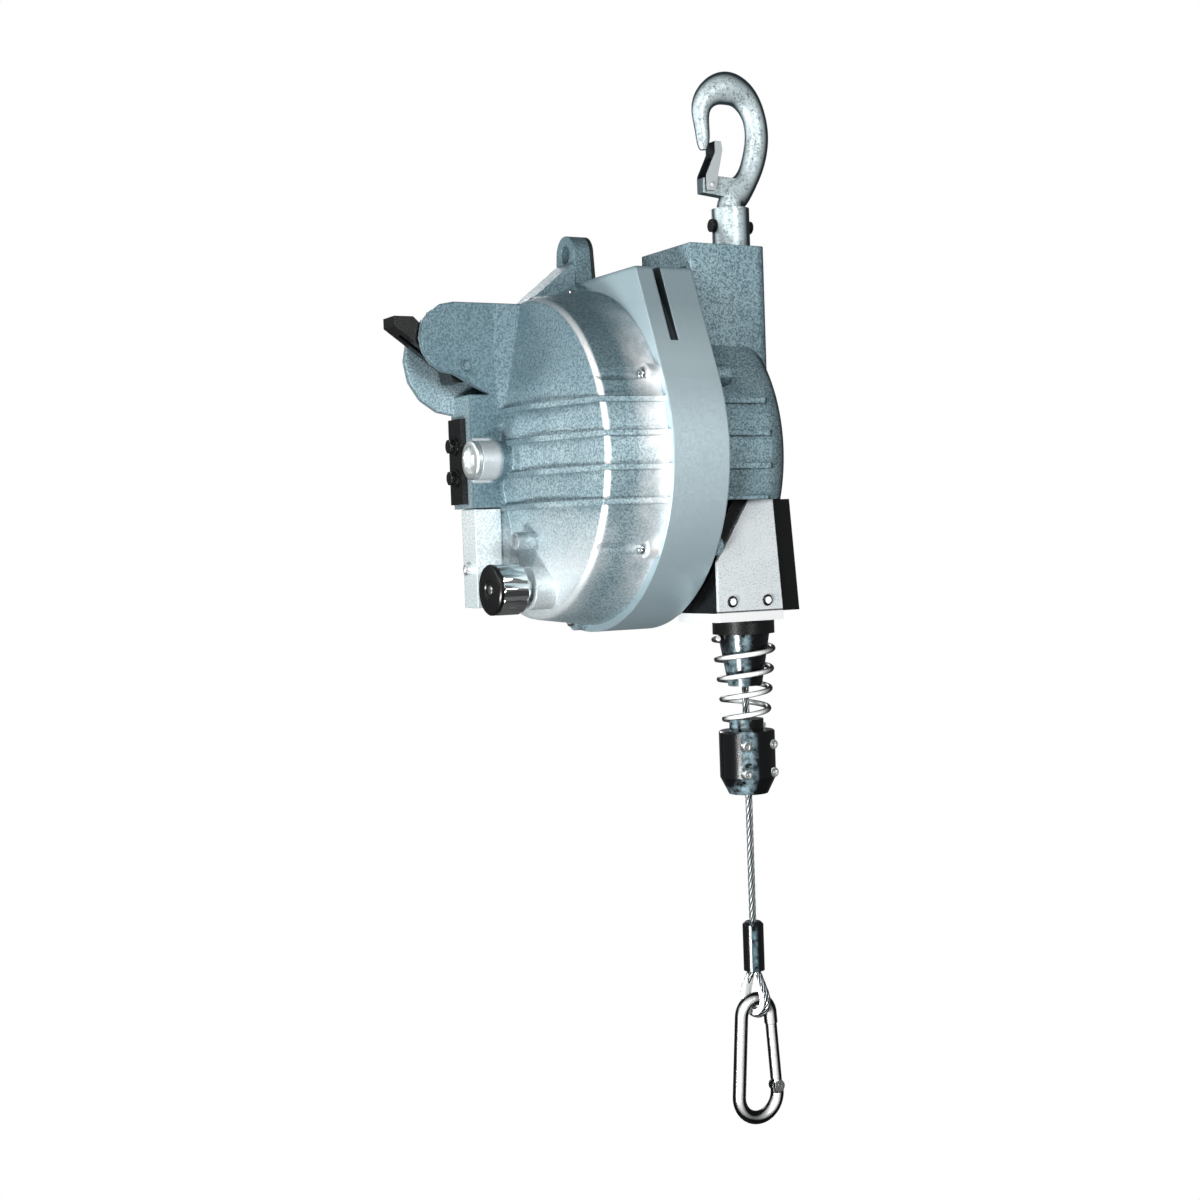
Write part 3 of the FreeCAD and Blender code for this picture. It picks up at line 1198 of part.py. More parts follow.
def snap_shapes():
    """Pear-shaped snap hook body, its sprung gate and the gate's pin."""
    top, bottom, small, large, slope = snap_layout()
    wire = d.snap_wire.number / 2
    gap = d.clearance.number
    right_top = on_side(top, small, slope, 1)
    right_low = on_side(bottom, large, slope, 1)
    down = (right_low - right_top).normalize()
    nose = right_top + down * (wire * 1.6)
    heel = right_low - down * wire
    path = Part.Wire([
        Part.makeLine(nose, right_top),
        Part.Arc(right_top, top + V(0, 0, small), on_side(top, small, slope, -1)).toShape(),
        Part.makeLine(on_side(top, small, slope, -1), on_side(bottom, large, slope, -1)),
        Part.Arc(on_side(bottom, large, slope, -1), bottom - V(0, 0, large), right_low).toShape(),
        Part.makeLine(right_low, heel),
    ])
    section = Part.Wire([Part.Circle(nose, down, wire).toShape()])
    body = path.makePipeShell([section], True, False)
    pin_at = heel + down * 1.5
    tongue = wire * 0.42
    fork_room = []
    for side in (-1, 1):
        low_y = tongue if side > 0 else -tongue - 20
        fork_room.append(Part.makeBox(18, 20, 3 * wire, V(pin_at.x - 9, low_y, pin_at.z - wire)))
    body = body.cut(fork_room[0]).cut(fork_room[1])
    ear = Part.makeCylinder(wire, 2 * tongue, V(pin_at.x, -tongue, pin_at.z), V(0, 1, 0))
    pin_radius = d.pin_radius.number / 2
    bore = Part.makeCylinder(pin_radius, 30, V(pin_at.x, -15, pin_at.z), V(0, 1, 0))
    body = body.fuse(ear).cut(bore).removeSplitter()
    gate_start = nose + down * gap
    gate_end = pin_at
    length = (gate_end - gate_start).Length
    gate = Part.makeCylinder(wire * 0.86, length, gate_start, down)
    cheek = Part.makeCylinder(wire * 0.9, 1.72 * wire, V(pin_at.x, -wire * 0.86, pin_at.z), V(0, 1, 0))
    room = Part.makeBox(30, 2 * (tongue + gap), 2 * wire + gap, V(pin_at.x - 15, -tongue - gap, pin_at.z - wire - gap / 2))
    gate_bore = Part.makeCylinder(pin_radius + d.running_gap.number, 30, V(pin_at.x, -15, pin_at.z), V(0, 1, 0))
    gate = gate.fuse(cheek).cut(room).cut(gate_bore)
    gate = max(gate.Solids, key=lambda solid: solid.Volume)
    pin = Part.makeCylinder(pin_radius, 1.72 * wire, V(pin_at.x, -wire * 0.86, pin_at.z), V(0, 1, 0))
    return body, gate, pin


def rope_end():
    """Rope, crimped sleeve, thimble with the rope's eye, and the snap hook."""
    rope = cylinder("rope_bar", d.rope_diameter / 2, ROPE_TOP - SLEEVE_LOW, 0, 0, SLEEVE_LOW)
    keep(rope, "wire_rope")
    turned_piece("crimp_sleeve", [
        (d.rope_diameter / 2, -d.sleeve_length),
        (d.sleeve_radius, -d.sleeve_length),
        (d.sleeve_radius, -2 * d.small_edge),
        (d.sleeve_radius - 2 * d.small_edge, 0),
        (d.rope_diameter / 2, 0),
    ], 0, 0, AXIS_Z - d.sleeve_top)
    for name, shape in (("rope_eye", rope_eye_shape()), ("thimble", thimble_shape())):
        piece = shaped(name, shape)
        piece.Placement = FreeCAD.Placement(V(0, 0, 0), FreeCAD.Rotation(V(0, 0, 1), 90 + EYE_TURN))
    body, gate, pin = snap_shapes()
    shaped("snap_hook", body)
    shaped("snap_gate", gate)
    shaped("gate_pin", pin)


def write_parts():
    """Checks every object and sub-part, then writes one file for each sub-part."""
    doc.recompute()
    for thing in doc.Objects:
        if "Invalid" in thing.State or "Error" in thing.State:
            raise RuntimeError(f"{thing.Name} ({thing.Label}) failed: {thing.getStatusString()}")
    os.makedirs("parts", exist_ok=True)
    for thing in SUBPARTS:
        shape = thing.Shape
        if shape.isNull() or not shape.isValid() or not shape.Solids:
            raise RuntimeError(f"{thing.Label} has no valid solid")
        if thing.TypeId == "PartDesign::Body" and len(shape.Solids) != 1:
            raise RuntimeError(f"{thing.Label} fell into {len(shape.Solids)} pieces")
        shape.exportStep(f"parts/{thing.Label}.step")
    print(len(SUBPARTS), "sub-parts written")


front_housing()
rear_housing()
drum_group()
housing_fittings()
lock_parts()
suspension()
rope_exit()
buffer_parts()
stop_parts()
rope_end()
write_parts()
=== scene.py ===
# %% [markdown]
# # Dressing a spring balancer
# The solids of the balancer are already in place. This lesson gives each of them its real surface,
# adds the small things that a casting, a screw or a wire rope shows from close by,
# and sets up a studio with a camera on the side where its drum cover and its hook are both seen.

import math

import bpy
import numpy as np
from mathutils import Matrix, Vector


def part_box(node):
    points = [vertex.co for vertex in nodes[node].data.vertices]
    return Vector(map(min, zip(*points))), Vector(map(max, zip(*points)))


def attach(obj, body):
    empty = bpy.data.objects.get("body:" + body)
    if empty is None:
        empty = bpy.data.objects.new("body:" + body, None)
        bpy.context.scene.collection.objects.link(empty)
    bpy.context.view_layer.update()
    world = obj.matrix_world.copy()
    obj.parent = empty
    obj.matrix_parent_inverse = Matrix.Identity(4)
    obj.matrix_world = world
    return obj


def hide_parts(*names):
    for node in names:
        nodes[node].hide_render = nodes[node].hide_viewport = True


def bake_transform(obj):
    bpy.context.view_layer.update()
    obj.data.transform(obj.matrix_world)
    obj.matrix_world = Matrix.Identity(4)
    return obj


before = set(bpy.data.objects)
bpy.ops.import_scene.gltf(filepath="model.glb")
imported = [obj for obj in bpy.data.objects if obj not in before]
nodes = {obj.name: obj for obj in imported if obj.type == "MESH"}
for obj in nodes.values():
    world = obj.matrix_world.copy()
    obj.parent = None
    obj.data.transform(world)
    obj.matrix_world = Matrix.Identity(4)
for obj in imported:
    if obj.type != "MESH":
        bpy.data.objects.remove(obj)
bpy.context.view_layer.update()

# %% [markdown]
# ## Places that the pieces share
# Everything is in metres. The load line is the Z axis, the drum's axis runs along X,
# and the cover's flange face stands across that axis. Where a piece takes over from a solid,
# it reads its place from the solid's own box, so that it can't drift away from it.

# %% Places
FLANGE = Vector((-0.088, 0.066, -0.245))
MM = 0.001


def lowest(node):
    """Lowest corner of a solid's box."""
    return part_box(node)[0]


def highest(node):
    """Highest corner of a solid's box."""
    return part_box(node)[1]


print("cover reaches", round((FLANGE.x - lowest("front_housing").x) / MM, 1), "mm in front of its flange")

# %% [markdown]
# ## Colours and surfaces
# A colour is written as the hexagon code that a screen shows. The renderer wants light,
# so each channel is taken back through the screen's curve.
# Patterns are sized in millimetres on the object's own coordinates. They could be images wrapped
# round each piece, but noise in millimetres needs no unwrapping and fits every solid alike.

# %% Colour and nodes
def light(code):
    """Linear colour of a screen code: c / 12.92 below 0.04045, else ((c + 0.055) / 1.055) ** 2.4."""
    channels = [int(code[i : i + 2], 16) / 255 for i in (1, 3, 5)]
    return [c / 12.92 if c <= 0.04045 else ((c + 0.055) / 1.055) ** 2.4 for c in channels] + [1.0]


def plug(tree, socket, value):
    """Links a socket to another node's output, or sets its plain value."""
    if isinstance(value, bpy.types.NodeSocket):
        tree.links.new(value, socket)
    else:
        socket.default_value = value


def add(tree, kind, settings=None, **sockets):
    """Adds a node, sets its properties, and fills its inputs by name, or by number as in i0."""
    node = tree.nodes.new(kind)
    for name, value in (settings or {}).items():
        setattr(node, name, value)
    for name, value in sockets.items():
        numbered = name[0] == "i" and name[1:].isdigit()
        plug(tree, node.inputs[int(name[1:]) if numbered else name.replace("_", " ")], value)
    return node


def surface(name, colour, metallic, roughness):
    """A material with one shader whose plain values are on its own sockets."""
    made = bpy.data.materials.new(name)
    made.use_nodes = True
    tree = made.node_tree
    tree.nodes.clear()
    plain = {"Base_Color": light(colour), "Metallic": metallic, "Roughness": roughness}
    shader = add(tree, "ShaderNodeBsdfPrincipled", **plain)
    add(tree, "ShaderNodeOutputMaterial", Surface=shader.outputs["BSDF"])
    return made, tree, shader


WHITE = "#FFFFFF"
print("a middle grey is", round(light("#808080")[0], 3), "of full light")

# %% [markdown]
# A pattern starts from a measure, such as a coordinate or noise, and ends as a share from 0 to 1
# that mixes two colours or changes the gloss. These few helpers cover every surface below.

# %% Measures and shares
def millimetres(tree):
    """Object coordinates in millimetres."""
    place = add(tree, "ShaderNodeTexCoord").outputs["Object"]
    return add(tree, "ShaderNodeVectorMath", {"operation": "SCALE"}, Vector=place, Scale=1 / MM).outputs[0]


def noise(tree, where, size_mm, detail=2.0, rough=0.5):
    """Noise whose lumps are about size_mm across."""
    sockets = {"Vector": where, "Scale": 1.0 / size_mm, "Detail": detail, "Roughness": rough}
    return add(tree, "ShaderNodeTexNoise", **sockets).outputs[0]


def spread(tree, value, low, high, new_low, new_high):
    """A value stretched from one range to another and held there."""
    return add(tree, "ShaderNodeMapRange", i0=value, i1=low, i2=high, i3=new_low, i4=new_high).outputs[0]


def rise(tree, value, start, full, most=1.0):
    """A share that is 0 at start and comes evenly to its most at full."""
    return spread(tree, value, start, full, 0.0, most)


def result(tree, operation, first, second=0.0):
    """One sum of two values, or of one."""
    return add(tree, "ShaderNodeMath", {"operation": operation}, i0=first, i1=second).outputs[0]


def times(tree, *values):
    """Several values multiplied together."""
    made = values[0]
    for value in values[1:]:
        made = result(tree, "MULTIPLY", made, value)
    return made


def off(tree, value, place):
    """How far a value is from a place, either way: |value - place|."""
    return result(tree, "ABSOLUTE", result(tree, "SUBTRACT", value, place))


def part_of(tree, where, axis):
    """One of the three coordinates in millimetres."""
    return add(tree, "ShaderNodeSeparateXYZ", i0=where).outputs["XYZ".index(axis)]


def mixed(tree, share, first, second):
    """Two colours mixed by a share from 0 to 1. A code in letters is turned to light first."""
    made = add(tree, "ShaderNodeMix", {"data_type": "RGBA"})
    colours = [light(c) if isinstance(c, str) else c for c in (first, second)]
    for number, value in zip((0, 6, 7), (share, *colours)):
        plug(tree, made.inputs[number], value)
    return made.outputs[2]


print("a grain of 1.5 mm is noise at a scale of", round(1 / 1.5, 3))

# %% [markdown]
# A cutter, a mould or a die never leaves a quite sharp edge. The solids could be given real fillets,
# but the shader gives their edges the same look and leaves the solids as they are.

# %% Edges, bumps and the finished shader
def rounded(tree, radius_mm, samples=4):
    """Normals of edges that are rounded by a radius."""
    return add(tree, "ShaderNodeBevel", {"samples": samples}, Radius=radius_mm * MM).outputs["Normal"]


def bumped(tree, height, strength, depth_mm, normal):
    """Normals tilted by a height pattern of a given depth."""
    sockets = {"Strength": strength, "Distance": depth_mm * MM, "Height": height, "Normal": normal}
    return add(tree, "ShaderNodeBump", **sockets).outputs["Normal"]


def turned_away(tree, normal):
    """0 where a surface faces the eye and 1 where it turns away."""
    return add(tree, "ShaderNodeLayerWeight", Blend=0.5, Normal=normal).outputs["Facing"]


def finished(tree, shader, colour=None, roughness=None, normal=None):
    """Plugs what was worked out into the shader."""
    for name, value in (("Base Color", colour), ("Roughness", roughness), ("Normal", normal)):
        if value is not None:
            plug(tree, shader.inputs[name], value)


print("an edge of 0.4 mm is a bevel of", 0.4 * MM, "m")

# %% [markdown]
# ### The casting
# The housing is an aluminium alloy, cast in sand and thinly coated in a bluish grey. Sand leaves a fine
# grain and cloudy patches some centimetres wide. The real grain is about half a millimetre across. It is
# drawn at 1.5 mm, or it would not show in the picture.
#
# The cover isn't alike all over. The joint ring is turned on a lathe, so it is smooth and pale. Light and
# shade are painted on it: a painted highlight round the ridge of the dome, in the corner in front of the
# ring, on the low front of the cone and on the boss; painted shade on the hub block, the top and the ring's
# top and bottom; and painted shadow that makes the slot in the shoulder black. Each zone is a share, worked
# out from how far a point lies behind the flange face, above the axis, towards the far side, and out from the
# axis.

# %% Where the cover differs
# Millimetres. The ridge's depth is its distance in front of the flange face. The other places along the axis
# are counted from that face, negative in front of it and positive behind it.
RIDGE_DEPTH, RIDGE_RADIUS, RIDGE_BAND = 44.0, 113.0, 1.5
RING_INNER, LUG_FOOT = 119.0, 124.0
HUB_FACE, BOSS_START, BOSS_RADIUS = -62.0, -70.0, 16.0
FAR_CHEEK, CHEEK_START = 5.0, -66.0
SLOT_START, SLOT_END, SLOT_LOW, SLOT_SIDE = 13.0, 19.0, 74.0, 39.0
RING_GREY, SHADED, SLOT_SHADOW = "#C2D5DB", "#55707A", "#0D1518"


def from_axis(tree, where):
    """Distance from the drum's axis in millimetres."""
    flat = add(tree, "ShaderNodeVectorMath", {"operation": "MULTIPLY"}, i0=where, i1=(0, 1, 1)).outputs[0]
    centre = (0, FLANGE.y / MM, FLANGE.z / MM)
    return add(tree, "ShaderNodeVectorMath", {"operation": "DISTANCE"}, i0=flat, i1=centre).outputs["Value"]


def cover_zones(tree, where):
    """The share left to the grain, the share of painted shade, the share of the ridge's painted highlight,
    and each zone with its colour.
    """
    along, side, height = [
        result(tree, "SUBTRACT", part_of(tree, where, axis), middle / MM)
        for axis, middle in zip("XYZ", FLANGE)
    ]
    radius, level = from_axis(tree, where), off(tree, height, 0.0)
    # The ring's outside, up to the foot of the safety lug.
    ring = times(tree, rise(tree, along, -0.6, -0.1), rise(tree, radius, RING_INNER - 0.4, RING_INNER + 0.4),
                 rise(tree, height, LUG_FOOT + 2, LUG_FOOT - 2))
    grainy = result(tree, "SUBTRACT", 1.0, times(tree, ring, 0.9))
    # Painted shade on the top and the hub block, but not on the hood's far cheek, which is lit.
    far = times(tree, rise(tree, side, FAR_CHEEK, FAR_CHEEK + 4),
                rise(tree, along, CHEEK_START, CHEEK_START - 4))
    near = result(tree, "SUBTRACT", 1.0, far)
    dark = result(tree, "MAXIMUM", rise(tree, height, 10, 62, 0.62),
                  rise(tree, along, HUB_FACE, HUB_FACE - 5, 0.8))
    # A painted highlight in a narrow band round the ridge, fading towards the top and the bottom.
    from_ridge = result(tree, "ADD", off(tree, along, RIDGE_BAND - RIDGE_DEPTH),
                        off(tree, radius, RIDGE_RADIUS - RIDGE_BAND))
    ridge_highlight = times(tree, rise(tree, from_ridge, 3.8, 1.4), spread(tree, level, 105, 60, 0.15, 1))
    # Painted highlights in the hollow in front of the ring and on the low front of the cone, both in cloudy
    # patches.
    corner = times(tree, rise(tree, along, -24, -3, 0.95), rise(tree, along, -0.1, -0.4),
                   rise(tree, level, 106, 62), spread(tree, noise(tree, where, 16.0), 0.36, 0.6, 0.45, 1))
    foot = times(tree, rise(tree, height, -30, -78, 0.42), rise(tree, along, -28, -46),
                 spread(tree, noise(tree, where, 30.0), 0.3, 0.55, 0.45, 1))
    # A painted highlight on the machined boss round the axle, and painted shadow that makes the slot in the
    # ring's shoulder black.
    boss = times(tree, rise(tree, radius, BOSS_RADIUS + 0.5, BOSS_RADIUS - 0.5, 0.5),
                 rise(tree, along, BOSS_START, BOSS_START - 4))
    slot = times(tree, rise(tree, along, SLOT_START - 0.1, SLOT_START - 0.03, 0.9),
                 rise(tree, along, SLOT_END + 0.1, SLOT_END + 0.03),
                 rise(tree, height, SLOT_LOW - 0.4, SLOT_LOW - 0.1),
                 rise(tree, side, SLOT_SIDE, SLOT_SIDE - 0.1))
    # Each zone with its colour: the white ones are painted highlights, SHADED and the slot's colour are
    # painted shade.
    zones = [
        (foot, WHITE),
        (boss, WHITE),
        (times(tree, ring, 0.8), RING_GREY),
        # Painted shade on the ring, towards its bottom and towards its top.
        (times(tree, ring, rise(tree, height, -30, -100, 0.45)), SHADED),
        (times(tree, ring, rise(tree, height, 60, 100, 0.4)), SHADED),
        (slot, SLOT_SHADOW),
        (corner, WHITE),
        (ridge_highlight, WHITE),
    ]
    return grainy, times(tree, dark, grainy, near), ridge_highlight, zones


print("rubbed ridge:", RIDGE_DEPTH, "mm in front of the flange,", RIDGE_RADIUS, "mm out from the axis")

# %% [markdown]
# The grain is one noise used three times: it darkens the colour, dulls the gloss and lifts the surface.
# The rear casting gets painted shade where it turns away from the eye, which stands for the dark room behind
# the camera.

# %% Cast surfaces
GRAIN, CLOUD = 1.5, 45.0
# The colour of the painted shade at the outline.
SHADOW = "#0A1012"


def cast_surface(name, colour, pale, deep, grain, cover=False, rim=0.0):
    """Sand-cast metal: a cloudy colour, a coarse dark grain and, on the cover, its own zones of finish and
    painted light and shade. A rim adds painted shade at the outline.
    """
    made, tree, shader = surface(name, colour, 0.5, 0.42)
    where = millimetres(tree)
    coarse = noise(tree, where, GRAIN, 4.0, 0.78)
    speck = rise(tree, coarse, 0.46, 0.555)
    base = mixed(tree, rise(tree, noise(tree, where, CLOUD, 3.0), 0.38, 0.62), colour, pale)
    rough = spread(tree, speck, 0.0, 1.0, 0.36, 0.54)
    grainy, zones = 1.0, []
    if cover:
        grainy, shaded, ridge_highlight, zones = cover_zones(tree, where)
        base = mixed(tree, shaded, base, SHADED)
        rough = result(tree, "SUBTRACT", rough, times(tree, ridge_highlight, 0.12))
    base = mixed(tree, times(tree, speck, 0.72, grainy), base, deep)
    for share, zone_colour in zones:
        base = mixed(tree, share, base, zone_colour)
    edges = rounded(tree, 1.4, 6)
    # Painted shade towards the outline, where the surface turns away from the eye.
    if rim:
        base = mixed(tree, rise(tree, turned_away(tree, edges), 0.58, 0.8, rim), base, SHADOW)
    finished(tree, shader, base, rough, bumped(tree, times(tree, coarse, grainy), grain, 0.35, edges))
    return made


# Bluish grey and speckled, with the cover's turned ring and its painted highlights and shade over it.
CAST = cast_surface("sand_cast_cover", "#93AAB2", "#AABEC4", "#3F5A64", 0.8, cover=True)
# The same grey with a stronger grain, and painted shade that makes it nearly black at its outline.
CAST_DARK = cast_surface("sand_cast_tower", "#92AEB8", "#A1BBC3", "#2F4A54", 1.0, rim=0.9)
# A lit copy of the cast grey: nearly white as painted light, with a grain that only just shows.
LIT_CASE_CAST = cast_surface("sand_cast_case", "#DCE6E8", "#EEF4F4", "#A9B8BC", 0.3)
print("cast surfaces:", CAST.name, CAST_DARK.name, LIT_CASE_CAST.name)

# %% [markdown]
# ### Turned metal, paint and plastic
# Pins, screws and the knob are turned from bar. The lever, the bolts and the end caps are painted black.
# A metal shows its colour only in what it mirrors. Paint and plastic show a plain colour under a clear gloss.
# An even gloss would read as glass, so the roughness of both wanders a little over lumps of some millimetres.

# %% Metals and coats
def metal(name, colour, roughness, lump_mm, depth_mm, contrast=0.05):
    """Bare or plated metal: its roughness wanders by the contrast either way."""
    made, tree, shader = surface(name, colour, 1.0, roughness)
    lumps = noise(tree, millimetres(tree), lump_mm, 3.0, 0.6)
    gloss = spread(tree, lumps, 0.3, 0.7, roughness - contrast, roughness + contrast)
    finished(tree, shader, None, gloss, bumped(tree, lumps, 0.2, depth_mm, rounded(tree, 0.35)))
    return made


def coated(name, colour, roughness, lump_mm=1.0, depth_mm=0.03):
    """Paint, plastic or rubber with a faint grain."""
    made, tree, shader = surface(name, colour, 0.0, roughness)
    lumps = noise(tree, millimetres(tree), lump_mm, 3.0, 0.6)
    gloss = spread(tree, lumps, 0.3, 0.7, roughness - 0.06, roughness + 0.08)
    finished(tree, shader, None, gloss, bumped(tree, lumps, 0.6, depth_mm, rounded(tree, 0.5)))
    return made


# Sharp small lights on pins and screw heads.
BRIGHT = metal("bright_turned_steel", "#D4D8D9", 0.2, 6.0, 0.01)
# The clearest mirror, for the knob's flutes.
POLISHED = metal("polished_steel", "#E6EAEA", 0.12, 9.0, 0.01, 0.03)
# A satin face that is pale all over.
MACHINED = metal("machined_alloy", "#EEF4F3", 0.4, 1.2, 0.02)
# Nearly white screws with soft lights.
PALE_SCREW = metal("zinc_plated_screw", "#F0F3F3", 0.35, 2.0, 0.01)
# Dull and uneven, for the rope that lies on the drum inside the housing.
LAID_WIRE = metal("wound_rope_layer", "#8D9394", 0.35, 2.0, 0.2)
# The blue of tempered spring band.
BLUED = metal("blued_band_steel", "#5B6470", 0.35, 5.0, 0.01)
# The warm brown of the drum's hub, inside the housing.
BRONZE = metal("bearing_bronze", "#A9824B", 0.35, 5.0, 0.01)
# Pale and matt, so that the thimble stands out from the dark rope in it.
PLATE = coated("pale_plated_sheet", "#E9EDEC", 0.4, 2.0, 0.02)
# Deep black with a clear glint along each edge.
BLACK_STEEL = coated("black_painted_steel", "#08090A", 0.28)
# The same black with a finer grain.
BLACK_PLASTIC = coated("black_moulded_plastic", "#070809", 0.3, 0.8, 0.03)
print("coats:", PLATE.name, BLACK_STEEL.name, BLACK_PLASTIC.name)

# %% [markdown]
# ### Forged and drawn steel
# The suspension hook is a zinc-plated forging, the snap hook is bent from bright bar, and the spring and the
# latch's pin are drawn steel. In front of a white backdrop such a bar has dark edges, because there it
# mirrors the dark room beside the camera. A room could be built, but it would darken the housing too.
# So the colour itself darkens as the surface turns away from the eye: a painted reflection of that room.
# The forging's grey pits are finer on the real hook and are drawn at 1.7 mm so that they show.

# %% Bars with dark edges
def outlined(name, colour, deep, metallic, rough, grain_mm, dark, start, full):
    """Pale metal with a painted reflection that turns it deep from start to full of its turning away, and
    dark pits in patches.
    """
    made, tree, shader = surface(name, colour, metallic, rough)
    where = millimetres(tree)
    grain = noise(tree, where, grain_mm, 3.0, 0.7)
    patch = noise(tree, where, grain_mm * 5.0)
    pits = times(tree, rise(tree, grain, 0.47, 0.6, dark), spread(tree, patch, 0.38, 0.58, 0.25, 1.0))
    edges = rounded(tree, 0.4)
    share = result(tree, "MAXIMUM", pits, rise(tree, turned_away(tree, edges), start, full))
    finished(tree, shader, mixed(tree, share, colour, deep), None, bumped(tree, grain, 0.3, 0.08, edges))
    return made


# Pale grey with dark pits, and dark sides as a painted reflection.
ZINC = outlined("zinc_plated_forging", "#C4D2D5", "#2C3D44", 0.4, 0.42, 1.7, 0.7, 0.22, 0.5)
# White along the middle, and black along both edges as a painted reflection.
CHROME = outlined("bright_snap_steel", "#FFFFFF", "#0B0E10", 0.5, 0.2, 3.0, 0.0, 0.05, 0.24)
# Softer dark edges of painted reflection, so that each coil of the spring reads as round.
DRAWN = outlined("drawn_spring_steel", "#F4F6F6", "#22282B", 0.3, 0.3, 2.0, 0.0, 0.2, 0.6)
print("bars with dark edges:", ZINC.name, CHROME.name, DRAWN.name)

# %% [markdown]
# ### The latch
# The hook's latch is sheet steel folded to a channel. Its two cheeks catch the light, and the back between
# them faces away from the lamps and is painted dark as shade. The distance from the middle plane tells
# the cheeks from the rest.

# %% Latch sheet
def folded_latch(name, cheek, between, half_mm):
    """Bent sheet: its two side faces, half_mm from the middle, in one colour and all between in a painted
    shade.
    """
    made, tree, shader = surface(name, cheek, 0.5, 0.35)
    outwards = off(tree, part_of(tree, millimetres(tree), "Y"), 0.0)
    share = rise(tree, outwards, half_mm - 0.5, half_mm - 0.3)
    finished(tree, shader, mixed(tree, share, between, cheek))
    return made


# Two pale side faces with a channel of painted shade between them.
LATCH = folded_latch("latch_sheet_steel", "#CDD5D7", "#1B2023", highest("hook_latch").y / MM)
print("latch cheeks start", round(highest("hook_latch").y / MM - 0.5, 2), "mm from the middle")

# %% [markdown]
# ### Glossy black
# The stop is moulded in two halves and the sleeve is pressed onto the rope. Both are glossy black, and both
# get a painted highlight: a pale broken streak down the side that faces the low light.

# %% Stop and sleeve
# Black paint still sends a little light back.
INK = "#07090B"


def glossy_black(name, glint, lump_mm, streak_x, half_mm):
    """Black with a painted highlight in a pale broken streak: half_mm to either side of a line at streak_x,
    in millimetres.
    """
    made, tree, shader = surface(name, INK, 0.0, 0.2)
    where = millimetres(tree)
    near = rise(tree, off(tree, part_of(tree, where, "X"), streak_x), half_mm, half_mm * 0.3)
    broken = rise(tree, noise(tree, where, lump_mm, 3.0, 0.6), 0.38, 0.66, 0.8)
    finished(tree, shader, mixed(tree, times(tree, near, broken), INK, glint), None, rounded(tree, 0.5))
    return made


# A broad painted highlight on the stop's round flank.
STOP_BLACK = glossy_black("moulded_stop_plastic", "#8FA9B2", 6.0, -10.0, 7.0)
# A narrow painted highlight on the sleeve.
SLEEVE_BLACK = glossy_black("crimped_sleeve_steel", "#6F8D99", 5.0, -3.2, 2.6)
print("glossy black:", STOP_BLACK.name, SLEEVE_BLACK.name)

# %% [markdown]
# ### Rope wire
# The grooves between the strands are rough and painted dark as shade, and the strands' backs are pale and
# smooth.
# Each point of the rope carries its height over the rope's axis, as a share of the rope's radius.

# %% Stranded wire
def wound(name, pale, deep):
    """Pale and smooth on the strands' backs, rough in the grooves and painted dark there as shade."""
    made, tree, shader = surface(name, pale, 1.0, 0.3)
    height = add(tree, "ShaderNodeAttribute", {"attribute_name": "strand_height"}).outputs["Fac"]
    gloss = spread(tree, height, 0.66, 0.93, 0.7, 0.28)
    finished(tree, shader, mixed(tree, rise(tree, height, 0.74, 0.96), deep, pale), gloss)
    return made


# Bright beads in a row with grooves of painted shade between, which reads as stranded wire from afar.
ROPE_WIRE = wound("rope_wire", "#979EA0", "#08090B")
print("rope:", ROPE_WIRE.name)

# %% [markdown]
# ### Galvanised sheet
# The guide plate is sheet dipped in zinc, with grey crystals in patches about a centimetre wide.
# It is folded near its foot: the fold is a dark line of painted shade, and the strip below it is nearly plain
# white.
# The speckle between the patches is drawn at 1.3 mm, coarser than on the real plate, so that it shows.

# %% Guide sheet
# The fold's height over the foot in millimetres.
FOLD = 7.0


def mottled(name, colour, deep, foot_mm):
    """Zinc on sheet: pale crystals with a fine grey grain, a nearly plain white strip below the fold, and
    painted shade along the fold.
    """
    made, tree, shader = surface(name, colour, 0.45, 0.5)
    where = millimetres(tree)
    grain = noise(tree, where, 1.3, 3.0, 0.7)
    patch = noise(tree, where, 9.0)
    dark = times(tree, rise(tree, grain, 0.46, 0.62, 0.55), spread(tree, patch, 0.35, 0.6, 0.5, 1.0))
    up = result(tree, "SUBTRACT", part_of(tree, where, "Z"), foot_mm)
    line = rise(tree, off(tree, up, FOLD), 0.75, 0.35, 0.9)
    base = mixed(tree, dark, colour, deep)
    base = mixed(tree, rise(tree, up, FOLD + 0.2, FOLD - 0.2, 0.85), base, WHITE)
    # A dark line of painted shade along the fold.
    base = mixed(tree, line, base, "#14181A")
    finished(tree, shader, base, spread(tree, grain, 0.3, 0.7, 0.4, 0.6), rounded(tree, 0.4))
    return made


# A pale, slightly cloudy plate between the black guide's edges.
SHEET = mottled("galvanised_sheet", "#E8EEF0", "#8C9A9F", lowest("guide_plate").z / MM)
print("surfaces:", len(bpy.data.materials))

# %% [markdown]
# ## Every solid gets its surface
# The list goes by surface, so that pieces of the same stock are seen together and none is forgotten.

